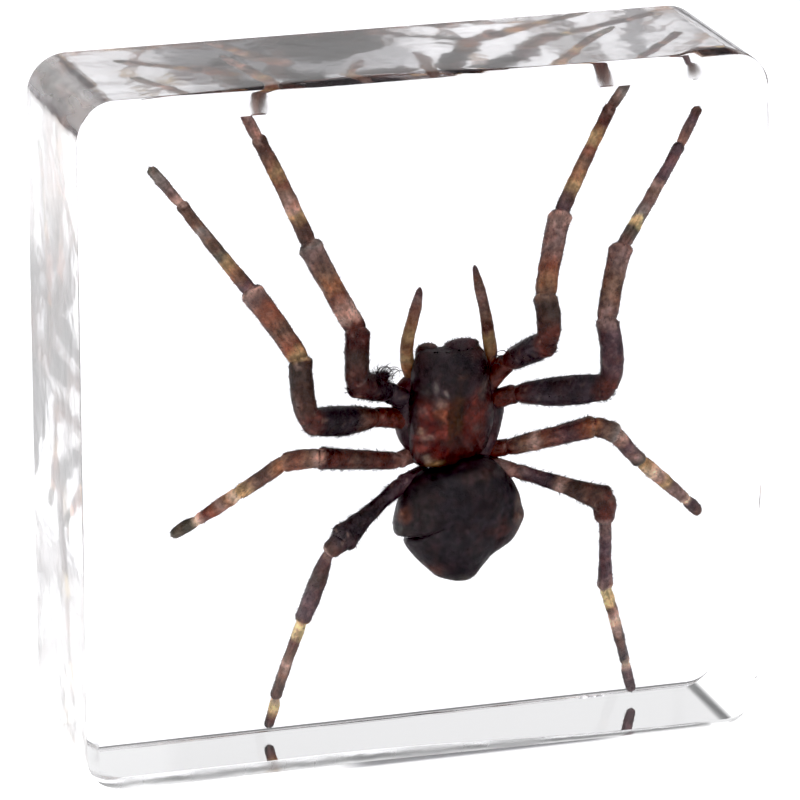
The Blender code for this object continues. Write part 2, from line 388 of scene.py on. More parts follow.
@dataclass(frozen=True)
class SpiderBristle:
    """Chitin bristle, hollow and tapering, dried with the cuticle that it grew from.

    Bristles blur the outline of the legs and catch small points of light.
    """

    name: str = "chitin_bristle"
    speck_mm: float = 0.25
    speck_window: Pair = (0.3, 0.7)
    speck_shades: Pair = (0.6, 1.5)
    roughness: float = 0.42

    def material(self) -> bpy.types.Material:
        """Make the bristle material, which reads the pigment of each bristle.

        Returns:
            The material.
        """
        material, tree, output = new_material(self.name)
        place = add_node(tree, "ShaderNodeTexCoord").outputs["Object"]
        pigment = add_node(tree, "ShaderNodeAttribute", attribute_name=PIGMENT)
        specks = add_node(tree, "ShaderNodeTexNoise", {"Vector": place, "Scale": per_metre(self.speck_mm)})
        shade = add_node(tree, "ShaderNodeMapRange", {
            "Value": specks.outputs["Fac"], **spans(self.speck_window, self.speck_shades)})
        colour = add_node(tree, "ShaderNodeVectorMath", {
            0: pigment.outputs["Color"], 1: shade.outputs["Result"]}, operation="MULTIPLY")
        shader = add_node(tree, "ShaderNodeBsdfPrincipled", {
            "Base Color": colour.outputs["Vector"], "Roughness": self.roughness})
        tree.links.new(shader.outputs["BSDF"], output.inputs["Surface"])
        return material


@dataclass(frozen=True)
class EyeLens:
    """Clear chitin lens over a black eye cup, grown smooth.

    Each lens is a black bead with one small bright point.
    """

    name: str = "black_eye_lens"
    colour: str = "0c0a0b"
    haze_mm: float = 0.1
    haze_window: Pair = (0.3, 0.7)
    roughness: Pair = (0.06, 0.2)

    def material(self) -> bpy.types.Material:
        """Make the lens material: black and glossy, with a slight haze.

        Returns:
            The material.
        """
        material, tree, output = new_material(self.name)
        place = add_node(tree, "ShaderNodeTexCoord").outputs["Object"]
        haze = add_node(tree, "ShaderNodeTexNoise", {"Vector": place, "Scale": per_metre(self.haze_mm)})
        rough = add_node(tree, "ShaderNodeMapRange", {
            "Value": haze.outputs["Fac"], **spans(self.haze_window, self.roughness)})
        shader = add_node(tree, "ShaderNodeBsdfPrincipled", {
            "Base Color": (*linear(self.colour), 1.0), "Roughness": rough.outputs["Result"]})
        tree.links.new(shader.outputs["BSDF"], output.inputs["Surface"])
        return material


@dataclass(frozen=True)
class Patch:
    """A soft-edged box on the table where its lamps are brighter or dimmer.

    across and away count in metres to the right of the origin and away from the eye, on axes
    that are turned by turn degrees from the block's own.
    """

    level: float
    across: Pair
    away: Pair
    soft: Pair
    turn: float = -17.2

    def blend(self, tree: bpy.types.NodeTree, place: bpy.types.NodeSocket,
              level: bpy.types.NodeSocket) -> bpy.types.NodeSocket:
        """Blend this patch's level over another.

        Args:
            tree: the node tree to build in.
            place: the place on the table.
            level: the level where there is no patch.

        Returns:
            The level with the patch.
        """
        turned = add_node(tree, "ShaderNodeMapping", {
            "Vector": place, "Rotation": (0.0, 0.0, math.radians(self.turn))}).outputs["Vector"]
        split = add_node(tree, "ShaderNodeSeparateXYZ", {0: turned})
        inside = []
        for axis, (low, high), soft in zip("XY", (self.across, self.away), self.soft):
            shifted = add_node(tree, "ShaderNodeMath", {
                0: split.outputs[axis], 1: (low + high) / 2}, operation="SUBTRACT")
            far = add_node(tree, "ShaderNodeMath", {0: shifted.outputs[0]}, operation="ABSOLUTE")
            inside.append(add_node(tree, "ShaderNodeMapRange", {
                "Value": far.outputs[0], **spans(((high - low + soft) / 2, (high - low - soft) / 2))},
                interpolation_type="SMOOTHSTEP"))
        share = add_node(tree, "ShaderNodeMath", {
            0: inside[0].outputs["Result"], 1: inside[1].outputs["Result"]}, operation="MULTIPLY")
        below, above = MIX_NUMBERS
        mixed = add_node(tree, "ShaderNodeMix", {0: share.outputs[0], below: level, above: self.level})
        return mixed.outputs[0]


@dataclass(frozen=True)
class LightTable:
    """Opal acrylic sheet, cast matt and lit from below, as a table for clear things.

    It gives a white ground with no shadow. The lamps under it make a long soft pool of light,
    which patches of brighter and dimmer lamps break up.
    """

    name: str = "opal_acrylic_sheet"
    colour: str = "c6c6ca"
    glow: float = 0.8
    pool_middle_m: Pair = (0.035, 0.13)
    pool_reach_m: Pair = (0.115, 0.3)
    pool_softness: float = 1.4
    patches: tuple[Patch, ...] = (
        # The front left is dark, so that the front face reflects nothing pale over the spider.
        Patch(0.0, (-0.5, 0.0305), (-0.6, -0.0575), (0.007, 0.035)),
        # A dimmer streak runs past the block's right edge.
        Patch(0.75, (0.0335, 0.042), (-0.131, -0.03), (0.004, 0.006)),
        # Bright strips on the left, one behind the other, lay a pale veil over the left face.
        Patch(2.45, (-0.13, -0.031), (-0.02, 0.072), (0.003, 0.01)),
        Patch(1.7, (-0.13, -0.018), (0.072, 0.25), (0.003, 0.01)),
        Patch(2.9, (-0.13, -0.008), (0.21, 0.45), (0.003, 0.07)),
        # A mask under the block dims what the top face shows.
        Patch(0.06, (-0.0085, 0.0205), (-0.0105, 0.0105), (0.005, 0.001), 0.0),
    )
    # The sheet's real grain is finer than a tenth of a millimetre, and this is as fine as shows.
    grain_mm: float = 0.6
    roughness: Pair = (0.8, 0.9)

    def material(self) -> bpy.types.Material:
        """Make the lit sheet, with a barely visible grain.

        Returns:
            The material.
        """
        material, tree, output = new_material(self.name)
        place = add_node(tree, "ShaderNodeTexCoord").outputs["Object"]
        grain = add_node(tree, "ShaderNodeTexNoise", {"Vector": place, "Scale": per_metre(self.grain_mm)})
        rough = add_node(tree, "ShaderNodeMapRange", {
            "Value": grain.outputs["Fac"], **spans((0.0, 1.0), self.roughness)})
        pool = add_node(tree, "ShaderNodeMapping", {
            "Vector": place, "Location": (*self.pool_middle_m, 0.0), "Scale": (*self.pool_reach_m, 1.0)},
            vector_type="TEXTURE")
        away = add_node(tree, "ShaderNodeVectorMath", {0: pool.outputs["Vector"]}, operation="LENGTH")
        level = add_node(tree, "ShaderNodeMapRange", {
            "Value": away.outputs["Value"], **spans((self.pool_softness, 1.0))},
            interpolation_type="SMOOTHSTEP").outputs["Result"]
        for patch in self.patches:
            level = patch.blend(tree, place, level)
        glow = add_node(tree, "ShaderNodeMath", {0: level, 1: self.glow}, operation="MULTIPLY")
        shader = add_node(tree, "ShaderNodeBsdfPrincipled", {
            "Base Color": (*linear(self.colour), 1.0), "Roughness": rough.outputs["Result"],
            "Emission Color": (1.0, 1.0, 1.0, 1.0), "Emission Strength": glow.outputs[0]})
        tree.links.new(shader.outputs["BSDF"], output.inputs["Surface"])
        return material


# --------------------------------------------------------------------------- skins and bristles


@dataclass(frozen=True)
class Coat:
    """How bristles stand on a skin.

    lean is 0 for bristles that stand straight out and 1 for bristles that lie flat.
    """

    per_mm2: float
    length: Pair
    lean: float
    tint: Tint = Tint.COAL
    thickness: float = 0.045


@dataclass
class Skin:
    """A closed skin made of rings, its colours, its bristles and the way that they lie."""

    rings: np.ndarray
    tints: np.ndarray
    coat: Coat | None = None
    lay: Point | None = None


class Sketch:
    """The points, faces and colours of one mesh, gathered before the mesh is made."""

    def __init__(self) -> None:
        """Start with nothing."""
        self.points: list[np.ndarray] = []
        self.tints: list[np.ndarray] = []
        self.faces: list[np.ndarray] = []
        self.count = 0

    def add(self, points: np.ndarray, tints: np.ndarray, faces: np.ndarray) -> None:
        """Add a batch of points and faces.

        Args:
            points: rows of (x, y, z).
            tints: a colour for each point.
            faces: rows of three points, counted from the first of these.
        """
        self.points.append(points)
        self.tints.append(tints)
        self.faces.append(faces + self.count)
        self.count += len(points)

    def add_skin(self, skin: Skin) -> None:
        """Add a skin, closed by a point at each end.

        Args:
            skin: the skin.
        """
        rings, sides, _ = skin.rings.shape
        ends = np.stack([skin.rings[0].mean(axis=0), skin.rings[-1].mean(axis=0)])
        end_tints = np.stack([skin.tints[0].mean(axis=0), skin.tints[-1].mean(axis=0)])
        near = np.arange(sides)
        after = (near + 1) % sides
        rows = np.arange(rings - 1)[:, None] * sides
        first, last = rings * sides, rings * sides + 1
        top = (rings - 1) * sides
        walls = [
            np.stack([rows + near, rows + after, rows + sides + after], axis=-1).reshape(-1, 3),
            np.stack([rows + near, rows + sides + after, rows + sides + near], axis=-1).reshape(-1, 3),
            np.stack([after, near, np.full(sides, first)], axis=-1),
            np.stack([top + near, top + after, np.full(sides, last)], axis=-1),
        ]
        points = np.concatenate([skin.rings.reshape(-1, 3), ends])
        tints = np.concatenate([skin.tints.reshape(-1, 3), end_tints])
        self.add(points, tints, np.concatenate(walls))

    def build(self, name: str, material: bpy.types.Material) -> bpy.types.Object:
        """Make the mesh object.

        Args:
            name: the piece's name.
            material: its one material.

        Returns:
            The object, with its faces pointing out.
        """
        mesh = bpy.data.meshes.new(name)
        points = np.concatenate(self.points) * MM
        mesh.from_pydata(points.tolist(), [], np.concatenate(self.faces).tolist())
        attribute = mesh.color_attributes.new(PIGMENT, "FLOAT_COLOR", "POINT")
        tints = np.concatenate(self.tints)
        attribute.data.foreach_set("color", np.hstack([tints, np.ones((len(tints), 1))]).ravel())
        shape = bmesh.new()
        shape.from_mesh(mesh)
        bmesh.ops.recalc_face_normals(shape, faces=shape.faces)
        shape.to_mesh(mesh)
        shape.free()
        mesh.shade_smooth()
        mesh.materials.append(material)
        return place_object(name, mesh)


# A bristle is a spike with a ring of three points at its root, another at its knee, and a tip.
SPIKE_TURNS = (0.0, 2.0 * math.pi / 3, 4.0 * math.pi / 3)
SPIKE_POINTS = 7
SPIKE_FACES = ((0, 2, 1), (0, 1, 4), (0, 4, 3), (1, 2, 5), (1, 5, 4), (2, 0, 3), (2, 3, 5),
               (3, 4, 6), (4, 5, 6), (5, 3, 6))


@dataclass
class BristleField:
    """Bristles sown over skins, each a tapering bent spike."""

    seed: int
    sway: float = 0.22
    hook: float = 0.45
    knee: float = 0.5
    knee_width: float = 2.0 / 3.0
    shades: Pair = (0.6, 1.6)
    sketch: Sketch = field(default_factory=Sketch)

    def __post_init__(self) -> None:
        """Start the random draws from the seed."""
        self.random = np.random.default_rng(self.seed)

    def sow(self, skin: Skin) -> int:
        """Stand bristles on a skin as its coat says.

        Args:
            skin: the skin, with a coat.

        Returns:
            How many bristles were sown.
        """
        coat = skin.coat
        here = skin.rings[:-1]
        beside = np.roll(skin.rings, -1, axis=1)[:-1]
        ahead = skin.rings[1:]
        across, along = (beside - here).reshape(-1, 3), (ahead - here).reshape(-1, 3)
        normal = np.cross(across, along)
        area = np.linalg.norm(normal, axis=1)
        middle = skin.rings.reshape(-1, 3).mean(axis=0)
        outward = np.sign(((here.reshape(-1, 3) - middle) * normal).sum())
        count = int(coat.per_mm2 * area.sum())
        cell = self.random.choice(len(area), count, p=area / area.sum())
        share = self.random.random((count, 2, 1))
        roots = here.reshape(-1, 3)[cell] + across[cell] * share[:, 0] + along[cell] * share[:, 1]
        out = unit(normal[cell]) * outward
        way = unit(along[cell]) if skin.lay is None else np.tile(np.array(skin.lay), (count, 1))
        way = unit(way - out * (way * out).sum(axis=1, keepdims=True))
        sway = self.random.normal(0.0, self.sway, (count, 3))
        lift = unit(out * (1.0 - coat.lean) + way * coat.lean + sway)
        length = self.random.uniform(*coat.length, (count, 1))
        tips = roots + length * unit(lift + way * self.hook)
        knees = roots + lift * length * self.knee
        shade = self.random.uniform(*self.shades, (count, 1))
        self.spike(roots - out * coat.thickness, knees, tips, coat.thickness, coat.tint.rgb * shade)
        return count

    def spike(self, roots: np.ndarray, knees: np.ndarray, tips: np.ndarray, width: float,
              tints: np.ndarray) -> None:
        """Add spikes, each bent at its knee and pointed at its tip.

        Args:
            roots: where each spike starts.
            knees: where it bends.
            tips: where it ends.
            width: how thick the spikes are at their roots.
            tints: the colour of each spike.
        """
        count = len(roots)
        axis = unit(knees - roots)
        side = unit(np.cross(axis, self.random.normal(size=(count, 3))))
        other = np.cross(axis, side)
        rings = []
        for centre, size in ((roots, width / 2), (knees, width / 2 * self.knee_width)):
            for turn in SPIKE_TURNS:
                rings.append(centre + (side * math.cos(turn) + other * math.sin(turn)) * size)
        points = np.stack([*rings, tips], axis=1).reshape(-1, 3)
        starts = np.arange(count)[:, None, None] * SPIKE_POINTS
        faces = (np.array(SPIKE_FACES)[None] + starts).reshape(-1, 3)
        self.sketch.add(points, np.repeat(tints, SPIKE_POINTS, axis=0), faces)


# --------------------------------------------------------------------------- the spider's limbs


SEGMENTS = ("coxa", "femur", "patella", "tibia", "metatarsus", "tarsus")
Widths = dict[str, Point]
Bands = tuple[tuple[float, Tint], ...]

FIRST_LEG_WIDTHS: Widths = {
    "coxa": (2.6, 2.4, 2.2),
    "femur": (2.2, 3.0, 2.8),
    "patella": (2.7, 2.9, 2.8),
    "tibia": (2.5, 2.5, 2.7),
    "metatarsus": (1.8, 1.7, 1.55),
    "tarsus": (1.4, 1.25, 0.8),
}
RIGHT_FIRST_LEG_WIDTHS: Widths = {
    **FIRST_LEG_WIDTHS,
    "metatarsus": (1.75, 1.55, 1.3),
    "tarsus": (1.35, 1.2, 0.6),
}
SECOND_LEG_WIDTHS: Widths = {
    "coxa": (2.6, 2.4, 2.2),
    "femur": (2.1, 3.55, 2.9),
    "patella": (2.5, 2.7, 2.6),
    "tibia": (2.3, 2.4, 2.6),
    "metatarsus": (1.75, 1.5, 1.35),
    "tarsus": (1.15, 1.3, 1.1),
}
THIRD_LEG_WIDTHS: Widths = {
    "coxa": (2.3, 2.1, 1.9),
    "femur": (2.1, 2.3, 2.6),
    "patella": (2.3, 2.2, 2.2),
    "tibia": (1.85, 1.75, 1.65),
    "metatarsus": (1.6, 1.7, 1.3),
    "tarsus": (1.1, 1.45, 1.05),
}
LEFT_FOURTH_LEG_WIDTHS: Widths = {
    "coxa": (2.4, 2.2, 2.0),
    "femur": (2.0, 1.9, 3.4),
    "patella": (2.9, 2.4, 1.9),
    "tibia": (1.2, 2.15, 1.9),
    "metatarsus": (1.35, 1.3, 1.35),
    "tarsus": (1.05, 1.25, 1.0),
}
RIGHT_FOURTH_LEG_WIDTHS: Widths = {
    "coxa": (2.2, 2.0, 1.7),
    "femur": (1.8, 1.8, 3.2),
    "patella": (3.0, 2.6, 1.9),
    "tibia": (1.6, 1.5, 2.0),
    "metatarsus": (1.35, 1.3, 1.15),
    "tarsus": (1.0, 1.2, 1.0),
}

LEG_COATS: dict[str, Coat] = {
    "coxa": Coat(3.0, (0.25, 0.5), 0.5),
    "femur": Coat(7.5, (0.3, 0.7), 0.5, Tint.SOOT, 0.055),
    "patella": Coat(5.5, (0.25, 0.5), 0.55, Tint.COAL, 0.05),
    "tibia": Coat(5.5, (0.22, 0.5), 0.55, Tint.COAL, 0.05),
    "metatarsus": Coat(5.5, (0.2, 0.42), 0.6, Tint.UMBER, 0.045),
    "tarsus": Coat(8.0, (0.16, 0.34), 0.6, Tint.OLIVE, 0.045),
}


def colour_along(bands: Bands, places: np.ndarray) -> np.ndarray:
    """Blend a list of colour bands.

    Args:
        bands: (place, tint) pairs in rising order of place.
        places: where to read the colour.

    Returns:
        Linear colours, with one more axis than places.
    """
    stops = np.array([place for place, _ in bands])
    colours = np.array([tint.rgb for _, tint in bands])
    return np.stack([np.interp(places, stops, colours[:, i]) for i in range(3)], axis=-1)


@dataclass(frozen=True)
class Swell:
    """A ring round a limb where it is thicker, or thinner if size is below 0."""

    size: float
    middle: float
    reach: float

    def factor(self, away: np.ndarray) -> np.ndarray:
        """Return what the limb's radius is multiplied by at each distance from its joint."""
        return 1.0 + self.size * np.exp(-(((away - self.middle) / self.reach) ** 2))


@dataclass(frozen=True)
class Segment:
    """One tubular segment of a limb, which nests a little way into its neighbours.

    Its number sets its dents and wrinkles apart from those of other segments.
    """

    start: np.ndarray
    end: np.ndarray
    widths: Point
    number: int
    bow: float
    nest_share: float = 0.45
    skin_share: float = 0.95
    cap_share: float = 0.75
    waist: Swell = Swell(-0.12, 0.1, 0.45)
    collar: Swell = Swell(0.06, 0.35, 0.3)
    dents: Pair = (0.035, 0.03)
    dent_turn: float = 1.7
    wrinkle: float = 0.085
    wrinkle_mm: float = 1.4
    crease: Grain = Grain(0.5, 0.5, 7.7)
    full_wrinkle_width: float = 1.0
    ring_step: float = 0.24
    least_rings: int = 12
    crowding: float = 0.3
    half_span: float = 0.499
    sides: int = 22

    def rings(self) -> tuple[np.ndarray, np.ndarray, np.ndarray]:
        """Work out the segment's skin.

        Returns:
            The rings of points, each ring's place as a share of the segment, and the angles of
            the points in a ring.
        """
        run = self.end - self.start
        length = float(np.linalg.norm(run))
        along = run / length
        side = unit(np.cross(along, np.array(BACKWARD)))
        direction, angle = spokes(np.cross(along, side), side, self.sides)
        station = self.stations(length)
        radius = self.radius(station, length)[:, None] * self.section(angle)[None, :]
        t = np.clip(station / length, 0.0, 1.0)
        centre = self.start + along * station[:, None] + side * (self.bow * 4 * t * (1 - t))[:, None]
        points = centre[:, None] + direction[None] * radius[..., None]
        wrinkles = roughen(points, self.wrinkle_mm, self.number) + self.crease.at(points)
        height = self.wrinkle * wrinkles * np.minimum(radius * 2, self.full_wrinkle_width)
        return points + direction[None] * height[..., None], station / length, angle

    def nests(self) -> Pair:
        """Return how far the two ends reach into the neighbouring segments."""
        return self.widths[0] / 2 * self.nest_share, self.widths[2] / 2 * self.nest_share

    def stations(self, length: float) -> np.ndarray:
        """Space the rings, closer at both ends.

        Args:
            length: the distance between the two joints.

        Returns:
            Each ring's distance from the near joint, which is below 0 inside the neighbour.
        """
        near, far = self.nests()
        whole = length + (near + far)
        steps = max(self.least_rings, int(whole / self.ring_step))
        crowded = np.cos(np.linspace(math.pi, 0.0, steps))
        even = np.linspace(-1.0, 1.0, steps)
        share = 0.5 + self.half_span * (self.crowding * crowded + (1.0 - self.crowding) * even)
        return -near + share * whole

    def radius(self, station: np.ndarray, length: float) -> np.ndarray:
        """Work out the radius of each ring: a waist at the near joint, a collar at the far one.

        Args:
            station: each ring's distance from the near joint.
            length: the distance between the two joints.

        Returns:
            The radii.
        """
        t = np.clip(station / length, 0.0, 1.0)
        start, middle, end = (width / 2 * self.skin_share for width in self.widths)
        body = start * (1 - t) * (1 - 2 * t) + middle * 4 * t * (1 - t) + end * t * (2 * t - 1)
        near, far = self.nests()
        ends = np.minimum(station + near, length + far - station)
        body_radius = body * self.waist.factor(station) * self.collar.factor(length - station)
        return body_radius * rounding(ends, body * self.cap_share)

    def section(self, angle: np.ndarray) -> np.ndarray:
        """Return how far a dried, slightly sunken cross-section departs from a circle."""
        turn = self.number * self.dent_turn
        return 1.0 + self.dents[0] * np.cos(2 * angle + turn) - self.dents[1] * np.cos(3 * angle + 2 * turn)


@dataclass(frozen=True)
class Banding:
    """How a leg's bands of colour look: wavy, streaked and flecked at joints, with painted shade on the
    flanks of dark bands and a painted glow on the flanks of pale ones.
    """

    warp: Grain = Grain(0.06, 0.9, 3.1)
    gain: float = 1.4
    painted_flank_power: int = 4
    flank_painted_shade: float = 0.6
    pale_flank_painted_glow: float = 0.9
    pale_window: Pair = (0.12, 0.4)
    streak: float = 0.5
    streak_grain: float = 0.42
    streaks_along: float = 1.6
    fleck: Grain = Grain(1.0, 0.6, 11.0)
    fleck_window: Pair = (0.3, 0.6)
    fleck_share: float = 0.15
    joint_fleck_share: float = 0.5
    joint_reach: float = 0.12
    fleck_tint: Tint = Tint.ROSE

    def colours(self, bands: Bands, place: np.ndarray, angle: np.ndarray, points: np.ndarray,
                offset: float) -> np.ndarray:
        """Colour the points of one segment.

        Args:
            bands: the leg's bands.
            place: each ring's place on the leg, in segments from the hip.
            angle: the angle of each point in a ring.
            points: the rings of points.
            offset: moves the streaks, so that two legs differ.

        Returns:
            A linear colour for each point.
        """
        warp = self.warp.at(points)
        tints = colour_along(bands, place[:, None] + warp)
        # Painted shade and glow: seen from the front, the flanks of dark bands are darkened and those of
        # pale bands lightened.
        shaded_flank = (np.abs(np.sin(angle)) ** self.painted_flank_power)[None, :]
        pale = ramp(tints.mean(axis=-1), *self.pale_window)
        tints = tints * (self.gain + shaded_flank * (self.pale_flank_painted_glow * pale - self.flank_painted_shade))[..., None]
        around = np.stack([np.cos(angle), np.sin(angle)], axis=-1)[None] * np.ones((len(place), 1, 1))
        along = np.broadcast_to(place[:, None, None] * self.streaks_along, (*warp.shape, 1))
        unrolled = np.concatenate([around, along], axis=-1)
        tints = tints * (1.0 + self.streak * roughen(unrolled, self.streak_grain, offset))[..., None]
        fleck = ramp(self.fleck.at(points), *self.fleck_window)
        near_joint = np.exp(-(((place - np.round(place)) / self.joint_reach) ** 2))[:, None]
        share = (fleck * (self.fleck_share + self.joint_fleck_share * near_joint))[..., None]
        return np.maximum(tints, 0.0) * (1.0 - share) + self.fleck_tint.rgb * share


@dataclass(frozen=True)
class Leg:
    """One walking leg: its joints from hip to tip, its widths, and its bands of colour.

    A band's place counts segments from the hip: 3.5 is the middle of the tibia. A segment
    without a bow of its own is bowed a little, to a side that its number sets.
    """

    name: str
    joints: tuple[Point, ...]
    widths: Widths
    bands: Bands
    bows: dict[str, float] = field(default_factory=dict)
    slight_bow: float = 0.1
    bow_turn: float = 2.3
    patterns: int = 17
    banding: Banding = Banding()

    def skins(self) -> list[Skin]:
        """Work out the skin of each segment.

        Returns:
            Six skins, from hip to tip.
        """
        joints = np.array(self.joints)
        offset = len(self.name) + self.joints[0][2]
        skins = []
        for i, name in enumerate(SEGMENTS):
            number = i + sum(map(ord, self.name)) % self.patterns
            bow = self.bows.get(name, self.slight_bow * math.sin(self.bow_turn * number))
            segment = Segment(joints[i], joints[i + 1], self.widths[name], number, bow)
            points, place, angle = segment.rings()
            tints = self.banding.colours(self.bands, i + place, angle, points, offset)
            skins.append(Skin(points, tints, LEG_COATS[name]))
        return skins


